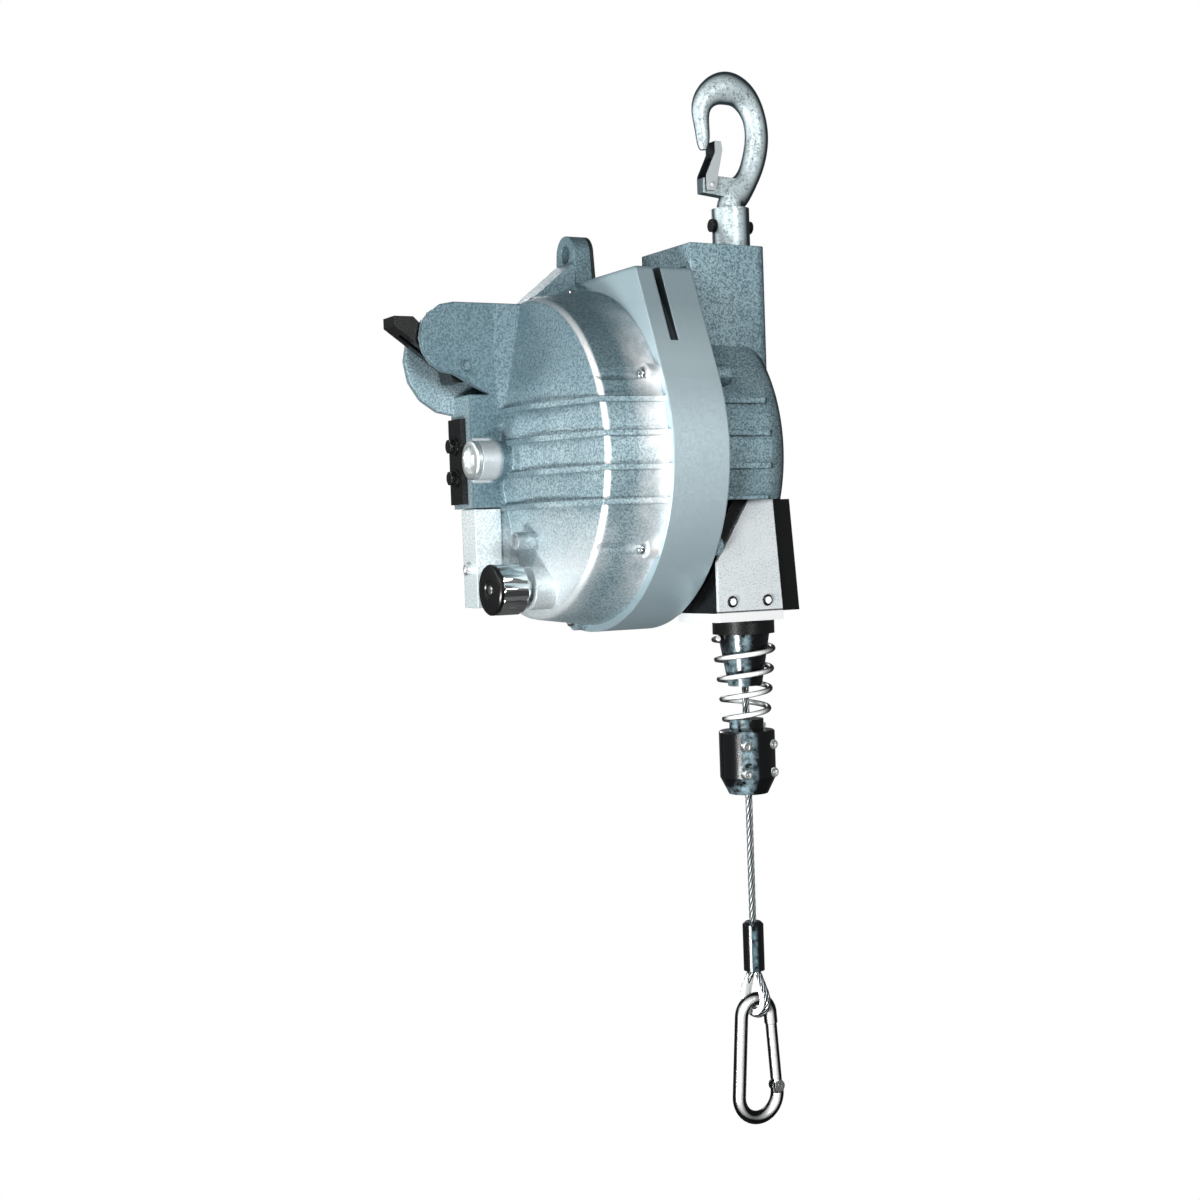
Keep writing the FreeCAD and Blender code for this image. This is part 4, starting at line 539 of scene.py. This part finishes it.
# %% Surfaces for the solids
WEARS = {
    CAST: ["front_housing", "lever_pin"],
    LIT_CASE_CAST: ["brake_case"],
    CAST_DARK: ["rear_housing", "rope_drum"],
    ZINC: ["suspension_hook", "swivel_collar"],
    LATCH: ["hook_latch"],
    CHROME: ["snap_hook", "snap_gate", "gate_pin"],
    BRIGHT: ["axle_cap", "plunger_knob", "drum_axle", "thrust_bearing", "swivel_nut", "rear_bearing",
             "housing_screws", "case_screw", "stop_screws", "grease_plug", "rear_cap_screws"],
    PLATE: ["thimble"],
    DRAWN: ["buffer_spring", "latch_pin"],
    ROPE_WIRE: ["wire_rope", "rope_eye"],
    LAID_WIRE: ["rope_layer"],
    SHEET: ["guide_plate"],
    BLUED: ["power_spring"],
    BRONZE: ["drum_hub"],
    SLEEVE_BLACK: ["crimp_sleeve"],
    STOP_BLACK: ["stop_front_half", "stop_rear_half", "rubber_buffer"],
    BLACK_STEEL: ["lock_lever", "cross_pin", "buffer_disc", "hub_bolts", "rear_cap", "guide_screws",
                  "hub_cover"],
    BLACK_PLASTIC: ["guide_block", "plunger_cap", "rope_bush"],
}
for worn, names in WEARS.items():
    for name in names:
        solid = nodes[name]
        solid.data.materials.clear()
        solid.data.materials.append(worn)
print("bare solids:", sorted(set(nodes) - {n for names in WEARS.values() for n in names}))

# %% [markdown]
# ## Surfaces worked out ring by ring
# A turned, fluted or hexagonal piece is a stack of closed rings with the same number of points.
# Neighbouring rings are joined by four-sided faces, and the first and the last ring are closed by one face
# each. Modelling by hand would do as well, but rings keep every size as a number that can be changed.

# %% Rings into meshes
AROUND = 96
TURN = np.arange(AROUND) * 2 * np.pi / AROUND
ALONG = {"X": (1, 2, 0), "-X": (2, 1, 0), "Y": (2, 0, 1), "-Y": (0, 2, 1)}
SHARP = 35


def shown(name, points, faces, material, body, angle=SHARP):
    """Makes an object from points (n, 3) and faces, dresses it and lets it ride on a body."""
    mesh = bpy.data.meshes.new(name)
    mesh.from_pydata(points.tolist(), [], faces)
    mesh.validate()
    mesh.shade_smooth()
    if angle:
        mesh.set_sharp_from_angle(angle=math.radians(angle))
    mesh.materials.append(material)
    made = bpy.data.objects.new(name, mesh)
    bpy.context.scene.collection.objects.link(made)
    if body:
        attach(made, body)
    return made


def ring_faces(count, around, first=0):
    """Four-sided faces between rings k and k + 1, with both ends closed by one face each."""
    k, i = np.meshgrid(np.arange(count - 1), np.arange(around), indexing="ij")
    j = (i + 1) % around
    corners = [k * around + i, k * around + j, (k + 1) * around + j, (k + 1) * around + i]
    faces = (np.stack(corners, -1).reshape(-1, 4) + first).tolist()
    faces.append((np.arange(around)[::-1] + first).tolist())
    faces.append((np.arange(around) + first + (count - 1) * around).tolist())
    return faces


def round_ring(radius, height):
    """A ring: radius * (cos, sin) at a height along the axis. The radius is one number or one per point."""
    return np.stack([radius * np.cos(TURN), radius * np.sin(TURN), np.full(AROUND, height)], -1)


def hexagon_ring(corner, height, limit=None):
    """A hexagon by angle: corner * cos(30) / cos(angle within a side), held within a limit."""
    half = np.pi / 6
    within = (TURN + half) % (2 * half) - half
    radius = corner * np.cos(half) / np.cos(within)
    return round_ring(radius if limit is None else np.minimum(radius, limit), height)


def stood(rings, centre, along):
    """Rings about Z, in millimetres, turned to point along X, Y, -X or -Y from a centre in metres."""
    points = np.concatenate(rings) * ((1, 1, -1) if along[0] == "-" else (1, 1, 1))
    placed = np.empty_like(points)
    placed[:, list(ALONG[along])] = points
    return placed * MM + np.array(centre)


def group(name, stacks, material, body):
    """Several ring stacks as one object. Each stack is (rings, centre, along)."""
    points, faces, first = [], [], 0
    for rings, centre, along in stacks:
        placed = stood(rings, centre, along)
        points.append(placed)
        faces += ring_faces(len(rings), AROUND, first)
        first += len(placed)
    return shown(name, np.concatenate(points), faces, material, body)


print("points in a ring:", AROUND)

# %% [markdown]
# ## Screws with hexagon sockets
# A cap screw is a chamfered round head with a six-sided pocket. Its rings go up the outside,
# over the rim and down the pocket's walls. Six of them hold the cover to the rear housing.

# %% Cap screws
def cap_screw(radius, height, key):
    """Rings of a socket head: outside, rim and pocket, in millimetres."""
    corner = key / math.sqrt(3)
    return [
        round_ring(radius, 0),
        round_ring(radius, height - 0.5),
        round_ring(radius - 0.15, height - 0.15),
        round_ring(radius - 0.5, height),
        round_ring(corner + 0.25, height),
        hexagon_ring(corner, height - 0.25),
        hexagon_ring(corner, height * 0.4),
        round_ring(0.05, height * 0.25),
    ]


# The head and the shank in millimetres, and the circle that the screws stand on in metres.
HEAD_RADIUS, HEAD_HEIGHT, HEAD_KEY = 4.0, 4.0, 4.0
SHANK, SHANK_TIP = 2.45, 1.8
SCREW_CIRCLE = 0.116
SCREW_ANGLES = [math.radians(a) for a in (34, 94, 154, 214, 274, 334)]
head_front = lowest("housing_screws").x
seat_x = head_front + HEAD_HEIGHT * MM
length = (highest("housing_screws").x - head_front) / MM - HEAD_HEIGHT
head = cap_screw(HEAD_RADIUS, HEAD_HEIGHT, HEAD_KEY)
shank = [round_ring(SHANK, 0), round_ring(SHANK, length - 0.6), round_ring(SHANK_TIP, length)]
stacks = []
for angle in SCREW_ANGLES:
    middle = FLANGE + Vector((0, SCREW_CIRCLE * math.cos(angle), SCREW_CIRCLE * math.sin(angle)))
    centre = (seat_x, middle.y, middle.z)
    stacks += [(head, centre, "-X"), (shank, centre, "X")]
heads = group("cover_cap_screws", stacks, BRIGHT, "housing")
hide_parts("housing_screws")
print("cover screws:", len(SCREW_ANGLES))

# %% [markdown]
# The end cover's two bolts have forged hexagon heads on a washer face. The corners are turned off at the top.

# %% Hexagon bolts on the end cover
def hexagon_bolt(corner, height):
    """Rings of a hexagon head with its corners turned off."""
    flats = corner * math.cos(math.pi / 6)
    return [
        round_ring(corner + 1.2, 0),
        round_ring(corner + 1.2, 0.9),
        hexagon_ring(corner, 0.95),
        hexagon_ring(corner, height - 0.9),
        hexagon_ring(corner, height - 0.35, flats + 0.45),
        round_ring(flats - 0.3, height),
    ]


# Metres from the axis to each bolt, then the head's corner and height in millimetres.
BOLT_OFFSET = 0.0112
BOLT_CORNER, BOLT_HEIGHT = 5.5, 5.0
bolt_seat = lowest("hub_cover").x
bolt_y = (lowest("hub_bolts").y + highest("hub_bolts").y) / 2
stacks = []
for side in (-1, 1):
    centre = (bolt_seat, bolt_y, FLANGE.z + side * BOLT_OFFSET)
    stacks.append((hexagon_bolt(BOLT_CORNER, BOLT_HEIGHT), centre, "-X"))
bolts = group("end_cover_bolts", stacks, BLACK_STEEL, "housing")
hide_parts("hub_bolts")
print("end cover bolts:", len(stacks))

# %% [markdown]
# The screws in the rope stop and the brake case are cap screws in other sizes. The guide plate is held by
# flat button heads, each with a pale face that lies just in front of its black body.

# %% Small cap screws
stop_low, stop_high = lowest("stop_screws"), highest("stop_screws")
# Millimetres. A seat goes 0.3 of the stop's radius deep.
STOP_RADIUS = 19.9
STOP_HEAD, STOP_SHANK, STOP_KEY = 3.5, 1.95, 3.0
stop_head_height = 0.3 * STOP_RADIUS
seat_y = stop_low.y + stop_head_height * MM
stacks = []
for side in (-1, 1):
    for height in (stop_low.z + STOP_HEAD * MM, stop_high.z - STOP_HEAD * MM):
        middle = (side * (stop_high.x - STOP_HEAD * MM), seat_y, height)
        stacks.append((cap_screw(STOP_HEAD - 0.02, stop_head_height, STOP_KEY), middle, "-Y"))
        reach = (stop_high.y - seat_y) / MM
        stacks.append(([round_ring(STOP_SHANK, 0), round_ring(STOP_SHANK, reach)], middle, "Y"))
stop_caps = group("stop_cap_screws", stacks, PALE_SCREW, "load")
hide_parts("stop_screws")

case_low, case_high = lowest("case_screw"), highest("case_screw")
case_middle = (case_high.x, (case_low.y + case_high.y) / 2, (case_low.z + case_high.z) / 2)
case_cap = group("brake_case_screw", [(head, case_middle, "-X")], PALE_SCREW, "housing")
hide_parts("case_screw")

GUIDE_HEAD = 0.004
guide_low, guide_high = lowest("guide_screws"), highest("guide_screws")
guide_z = (guide_low.z + guide_high.z) / 2
button = [round_ring(3.98, 0), round_ring(3.98, 0.7), round_ring(3.3, 1.35), round_ring(2.4, 1.5)]
button += [hexagon_ring(1.9, 1.45), hexagon_ring(1.9, 0.5), round_ring(0.05, 0.4)]
places = [(x, guide_high.y, guide_z) for x in (guide_low.x + GUIDE_HEAD, guide_high.x - GUIDE_HEAD)]
stacks = [(button, place, "-Y") for place in places]
buttons = group("guide_button_screws", stacks, BLACK_STEEL, "housing")
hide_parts("guide_screws")
disc = [round_ring(2.5, 0), round_ring(2.5, 1.62), round_ring(1.6, 1.7), round_ring(0.05, 1.7)]
group("guide_screw_faces", [(disc, place, "-Y") for place in places], PLATE, "housing")
print("guide screws:", len(places))

# %% [markdown]
# ## The drum lock's knob and the cap on the axle
# The knob's grip has broad flutes for the fingers, cut with a round cutter. Its radius is the plain radius
# less a share of a cosine that goes round once for each flute. A black moulded face with a steel rivet
# closes it.

# %% Knob
def fluted_ring(radius, flutes, depth, height):
    """A fluted outline: radius - depth * (1 - cos(flutes * angle)) / 2."""
    return round_ring(radius - depth * (1 - np.cos(flutes * TURN)) / 2, height)


# The grip's radius, the bare neck behind it and the depth of a flute, in millimetres.
KNOB, STAND, FLUTE_DEPTH = 17.6, 6.0, 1.3
FLUTES = 12
# The face of the boss that the knob stands on, in metres.
BOSS_REACH = 0.062
BOSS_FACE = FLANGE.x - BOSS_REACH
knob_low, knob_high = lowest("plunger_cap"), highest("plunger_cap")
CAP_AT = (BOSS_FACE - knob_high.x) / MM
CAP_END = (BOSS_FACE - knob_low.x) / MM
place = (BOSS_FACE, (knob_low.y + knob_high.y) / 2, (knob_low.z + knob_high.z) / 2)
grip = [
    round_ring(9.0, 0.4),
    round_ring(9.0, STAND),
    round_ring(15.2, STAND + 0.05),
    round_ring(16.6, STAND + 0.5),
    fluted_ring(KNOB, FLUTES, FLUTE_DEPTH, STAND + 1.4),
    fluted_ring(KNOB, FLUTES, FLUTE_DEPTH, CAP_AT - 1.4),
    round_ring(16.6, CAP_AT - 0.4),
    round_ring(15.2, CAP_AT),
]
rod_end = (highest("plunger_knob").x - BOSS_FACE) / MM
rod = [round_ring(6.0, -0.4), round_ring(6.0, rod_end)]
knob = group("fluted_knob", [(grip, place, "-X"), (rod, place, "X")], POLISHED, "plunger")
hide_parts("plunger_knob")
face = [
    round_ring(16.4, CAP_AT + 0.05),
    round_ring(KNOB - 0.05, CAP_AT + 0.6),
    round_ring(KNOB - 0.05, CAP_END - 1.2),
    round_ring(KNOB - 0.8, CAP_END - 0.3),
    round_ring(KNOB - 2.0, CAP_END),
    round_ring(7.2, CAP_END),
    round_ring(6.4, CAP_END - 0.9),
    round_ring(0.05, CAP_END - 0.9),
]
face_cap = group("knob_face", [(face, place, "-X")], BLACK_PLASTIC, "plunger")
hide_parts("plunger_cap")
rivet = [
    round_ring(3.4, CAP_END - 0.9),
    round_ring(3.1, CAP_END - 0.4),
    round_ring(1.8, CAP_END - 0.1),
    round_ring(0.05, CAP_END),
]
group("knob_rivet", [(rivet, place, "-X")], POLISHED, "plunger")
print("knob flutes:", FLUTES)

# %% [markdown]
# The axle's end is a turned collar with a rounded rim and a hexagon socket for a key, so it is a stack of
# rings too: up the outside, over the rim and down into the socket.

# %% Axle cap
axle_place = (highest("axle_cap").x, FLANGE.y, FLANGE.z)
collar = [
    round_ring(13.7, 0.0),
    round_ring(13.7, 3.1),
    round_ring(13.2, 3.8),
    round_ring(12.6, 4.0),
    round_ring(9.9, 4.0),
    round_ring(9.3, 3.5),
    round_ring(9.0, 1.6),
    hexagon_ring(4.0, 1.6),
    hexagon_ring(4.0, 0.4),
    round_ring(0.05, 0.3),
]
axle_end = group("axle_end_cap", [(collar, axle_place, "-X")], MACHINED, "axle")
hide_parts("axle_cap")
print("axle cap rings:", len(collar))

# %% [markdown]
# ## The buffer spring
# A round wire is coiled on a cone: it follows a helix whose radius shrinks evenly from the disc down to the
# stop. Each ring of the tube stands square to the helix, on two directions found with cross products.

# %% A tube along any line
def unit(vectors):
    """The same directions at a length of one."""
    return vectors / np.linalg.norm(vectors, axis=1, keepdims=True)


def tube(line, side, other, radius, sides):
    """Rings of a tube: line + radius * (cos * side + sin * other)."""
    turn = (np.arange(sides) * 2 * np.pi / sides)[None, :, None]
    ring = np.cos(turn) * side[:, None, :] + np.sin(turn) * other[:, None, :]
    return (line[:, None, :] + radius * ring).reshape(-1, 3)


# Metres, at the stop and at the disc.
WIRE_RADIUS = 0.002
TIP_RADIUS, TOP_RADIUS = 0.0148, 0.0212
COIL_TURNS, COIL_POINTS, WIRE_SIDES = 4.5, 320, 16
# The end coils are ground a little flat, so the wire's middle lies closer to the end than its radius.
END_REST = WIRE_RADIUS * 0.93
coil_low = lowest("buffer_spring").z + END_REST
coil_high = highest("buffer_spring").z - END_REST
share = np.linspace(0, 1, COIL_POINTS)
turn = 2 * np.pi * COIL_TURNS * share
across = TIP_RADIUS + (TOP_RADIUS - TIP_RADIUS) * share
height = coil_low + (coil_high - coil_low) * share
helix = np.stack([across * np.cos(turn), across * np.sin(turn), height], -1)
ahead = unit(np.gradient(helix, axis=0))
level = unit(np.cross(ahead, np.broadcast_to((0.0, 0.0, 1.0), helix.shape)))
wire = tube(helix, level, np.cross(ahead, level), WIRE_RADIUS, WIRE_SIDES)
faces = ring_faces(len(helix), WIRE_SIDES)
coil = shown("tapered_wire_spring", wire, faces, DRAWN, "housing")
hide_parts("buffer_spring")
print("spring wire:", round(float(np.linalg.norm(np.diff(helix, axis=0), axis=1).sum()), 3), "m")

# %% [markdown]
# ## The wire rope
# Six strands lie round a core in a right-hand helix with a lay of about six and a half diameters.
# The rope's own line is a spline through the load line; the strands are wound on points read from it.
# A bump pattern on a plain tube would be lighter, but its outline would stay smooth against the backdrop.

# %% Strands wound on a spline
ROPE = 0.005
LAY = 6.5 * ROPE
STRANDS, STRAND_SIDES = 6, 10
STRAND = ROPE / 6


def spline_points(name, controls):
    """Points read from a NURBS spline of order three with these control points."""
    curve = bpy.data.curves.new(name, "CURVE")
    curve.dimensions = "3D"
    curve.resolution_u = 24
    spline = curve.splines.new("NURBS")
    spline.points.add(len(controls) - 1)
    spline.points.foreach_set("co", np.array([(*point, 1.0) for point in controls]).ravel())
    spline.order_u = 3
    spline.use_endpoint_u = True
    holder = bpy.data.objects.new(name, curve)
    mesh = bpy.data.meshes.new_from_object(holder)
    points = np.empty(len(mesh.vertices) * 3)
    mesh.vertices.foreach_get("co", points)
    bpy.data.objects.remove(holder)
    bpy.data.meshes.remove(mesh)
    return points.reshape(-1, 3)


def evenly(points, step):
    """The same line with points a fixed step apart along it, and how far along each of them is."""
    reach = np.concatenate([[0], np.cumsum(np.linalg.norm(np.diff(points, axis=0), axis=1))])
    count = max(int(reach[-1] / step), 2)
    at = np.linspace(0, reach[-1], count + 1)
    return np.stack([np.interp(at, reach, points[:, i]) for i in range(3)], -1), at


def strand_rings(centre, side, radius):
    """Rings of one strand, square to the strand's own line."""
    ahead = unit(np.gradient(centre, axis=0))
    first = unit(side - ahead * (side * ahead).sum(1, keepdims=True))
    return tube(centre, first, np.cross(ahead, first), radius, STRAND_SIDES)


def stranded(name, controls, flat_side, material, body):
    """Strand k: rope / 3 * (cos * side + sin * other) of 2 pi * reach / lay + k * 60 degrees, and a core."""
    line, reach = evenly(spline_points(name, controls), ROPE / 5)
    ahead = unit(np.gradient(line, axis=0))
    side = unit(np.broadcast_to(np.array(flat_side, float), line.shape))
    other = np.cross(ahead, side)
    points = []
    for k in range(STRANDS):
        phase = (2 * np.pi * reach / LAY + k * np.pi / 3)[:, None]
        centre = line + (ROPE / 2 - STRAND) * (np.cos(phase) * side + np.sin(phase) * other)
        points.append(strand_rings(centre, side, STRAND))
    points.append(strand_rings(line, side, STRAND * 1.02))
    faces = []
    for k, rings in enumerate(points):
        faces += ring_faces(len(line), STRAND_SIDES, k * len(rings))
    made = shown(name, np.concatenate(points), faces, material, body, angle=None)
    axis = np.repeat(np.tile(np.arange(len(line)), len(points)), STRAND_SIDES)
    height = np.linalg.norm(np.concatenate(points) - line[axis], axis=1) / (ROPE / 2)
    carried = made.data.attributes.new("strand_height", "FLOAT", "POINT")
    carried.data.foreach_set("value", height.astype(np.float32))
    return made, line


ROPE_TOP, ROPE_END = highest("wire_rope").z, lowest("wire_rope").z
RUN_OUT = 0.1
route = [(0, 0, z) for z in (ROPE_TOP, ROPE_TOP - RUN_OUT, ROPE_END + RUN_OUT, ROPE_END)]
rope, rope_line = stranded("load_rope", route, (1, 0, 0), ROPE_WIRE, None)
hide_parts("wire_rope")
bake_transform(rope)
print("rope:", round(ROPE_TOP - ROPE_END, 3), "m, faces:", len(rope.data.polygons))

# %% [markdown]
# The rope's end goes round the thimble and comes back to the sleeve. The loop stands a little turned
# out of the hook's plane, as it hangs in the picture. Its two sides are alike, so one is written down
# and the other is its mirror image, in millimetres from the middle of the eye.

# %% Rope round the thimble
EYE_TURN = math.radians(100)
EYE_DROP = 0.020
EYE_CENTRE = ROPE_END - EYE_DROP
LOOP_SIDE = [(2.6, 20.0), (7.9, 10.5), (13.1, 1.2), (9.7, -8.8)]
LOOP = [*LOOP_SIDE, (0.0, -13.1), *((-s, z) for s, z in reversed(LOOP_SIDE))]
loop = [(s * MM * math.cos(EYE_TURN), s * MM * math.sin(EYE_TURN), EYE_CENTRE + z * MM) for s, z in LOOP]
across_loop = (-math.sin(EYE_TURN), math.cos(EYE_TURN), 0)
eye, eye_line = stranded("thimble_rope", loop, across_loop, ROPE_WIRE, "load")
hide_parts("rope_eye")
print("loop of rope:", round(float(np.linalg.norm(np.diff(eye_line, axis=0), axis=1).sum()), 4), "m")

# %% [markdown]
# ## The studio
# The camera stands where the picture was taken: a little over a metre away, at the height of the
# housing's lower edge, on the side of the cover. Its direction is written as an azimuth about the vertical,
# a tilt and a roll, because those three were worked out from points seen in the picture.

# %% Camera
CAMERA_PLACE = Vector((-0.7046, -1.0763, -0.3053))
CAMERA_AZIMUTH = math.radians(-28.7)
CAMERA_TILT = math.radians(1.81)
CAMERA_ROLL = math.radians(-1.99)
# Sensor width and focal length in millimetres.
SENSOR = 36.0
FOCAL = 54.17

camera_data = bpy.data.cameras.new("camera")
camera_data.sensor_width = SENSOR
camera_data.lens = FOCAL
camera_data.clip_start = 0.01
camera_data.clip_end = 50
camera = bpy.data.objects.new("camera", camera_data)
bpy.context.scene.collection.objects.link(camera)
bpy.context.scene.camera = camera
back = Vector((
    math.sin(CAMERA_AZIMUTH) * math.cos(CAMERA_TILT),
    -math.cos(CAMERA_AZIMUTH) * math.cos(CAMERA_TILT),
    math.sin(CAMERA_TILT),
))
right = Vector((math.cos(CAMERA_AZIMUTH), math.sin(CAMERA_AZIMUTH), 0))
above = back.cross(right)
rolled_right = right * math.cos(CAMERA_ROLL) + above * math.sin(CAMERA_ROLL)
rolled_up = above * math.cos(CAMERA_ROLL) - right * math.sin(CAMERA_ROLL)
turned = Matrix((rolled_right, rolled_up, back)).transposed().to_4x4()
turned.translation = CAMERA_PLACE
camera.matrix_world = turned
print("camera at", [round(v, 3) for v in CAMERA_PLACE])

# %% [markdown]
# The floor and the backdrop are sheets that the camera sees as plain white and that give the object
# a dull grey to mirror. White paint under strong lamps would look the same, but it would light the housing
# from all sides and wash its shape out. The floor is so low that the drawn-out load stays above it.

# %% Floor and backdrop
SHEET_GREY = "#8C8C8C"


def plane(name, centre, across, up):
    """A flat sheet of the stage: centre + a * across + b * up, with a and b from -1 to 1."""
    centre, across, up = Vector(centre), Vector(across), Vector(up)
    corners = [centre + a * across + b * up for a, b in ((-1, -1), (1, -1), (1, 1), (-1, 1))]
    mesh = bpy.data.meshes.new(name)
    mesh.from_pydata(corners, [], [(0, 1, 2, 3)])
    made = bpy.data.objects.new(name, mesh)
    bpy.context.scene.collection.objects.link(made)
    paint, tree, shader = surface(name + "_paint", SHEET_GREY, 0.0, 0.9)
    seen = add(tree, "ShaderNodeLightPath").outputs["Is Camera Ray"]
    glow = add(tree, "ShaderNodeEmission", Color=light(WHITE), Strength=1.0).outputs[0]
    both = add(tree, "ShaderNodeMixShader", i0=seen, i1=shader.outputs[0], i2=glow).outputs[0]
    out = next(n for n in tree.nodes if n.type == "OUTPUT_MATERIAL")
    tree.links.new(both, out.inputs["Surface"])
    mesh.materials.append(paint)
    return made


floor = plane("floor", (0, 0, -3.2), (6, 0, 0), (0, 6, 0))
backdrop = plane("backdrop", (0.9, 2.4, 0), (3.2, -1.8, 0), (0, 0, 3))
print("stage:", floor.name, backdrop.name)

# %% [markdown]
# Five soft lamps face the middle of the object. The strong one is low at the left and lights the cone from
# below, a weaker one above it shows the ridge, one from the front lifts the tower, and the last two
# draw the edges from behind. The world is white to the camera and dim to the object.

# %% Light
CENTRE = (-0.05, 0.03, -0.3)
LAMPS = [
    ("low_left", (-1.3, -0.6, -0.9), 0.35, 36),
    ("high_left", (-1.2, -0.9, 0.7), 0.45, 11),
    ("front", (-0.1, -1.7, 0.1), 0.5, 13),
    ("back", (0.3, 1.6, 0.3), 0.6, 9),
    ("rim", (-1.4, 0.9, 0.2), 0.6, 6),
]


def soft_light(name, place, size, power):
    """A square soft light at a place, facing the middle of the object: size in metres, power in watts."""
    data = bpy.data.lights.new(name, "AREA")
    data.size = size
    data.energy = power
    lamp = bpy.data.objects.new(name, data)
    lamp.location = place
    lamp.rotation_mode = "QUATERNION"
    lamp.rotation_quaternion = (Vector(place) - Vector(CENTRE)).to_track_quat("Z", "Y")
    bpy.context.scene.collection.objects.link(lamp)


for lamp in LAMPS:
    soft_light(*lamp)
world = bpy.data.worlds.new("world")
bpy.context.scene.world = world
world.use_nodes = True
sky = world.node_tree.nodes["Background"]
seen = add(world.node_tree, "ShaderNodeLightPath").outputs["Is Camera Ray"]
plug(world.node_tree, sky.inputs["Color"], light("#F4F7F8"))
plug(world.node_tree, sky.inputs["Strength"], spread(world.node_tree, seen, 0.0, 1.0, 0.16, 1.1))
bpy.context.scene.view_settings.view_transform = "Standard"
print("lights:", len(bpy.data.lights))
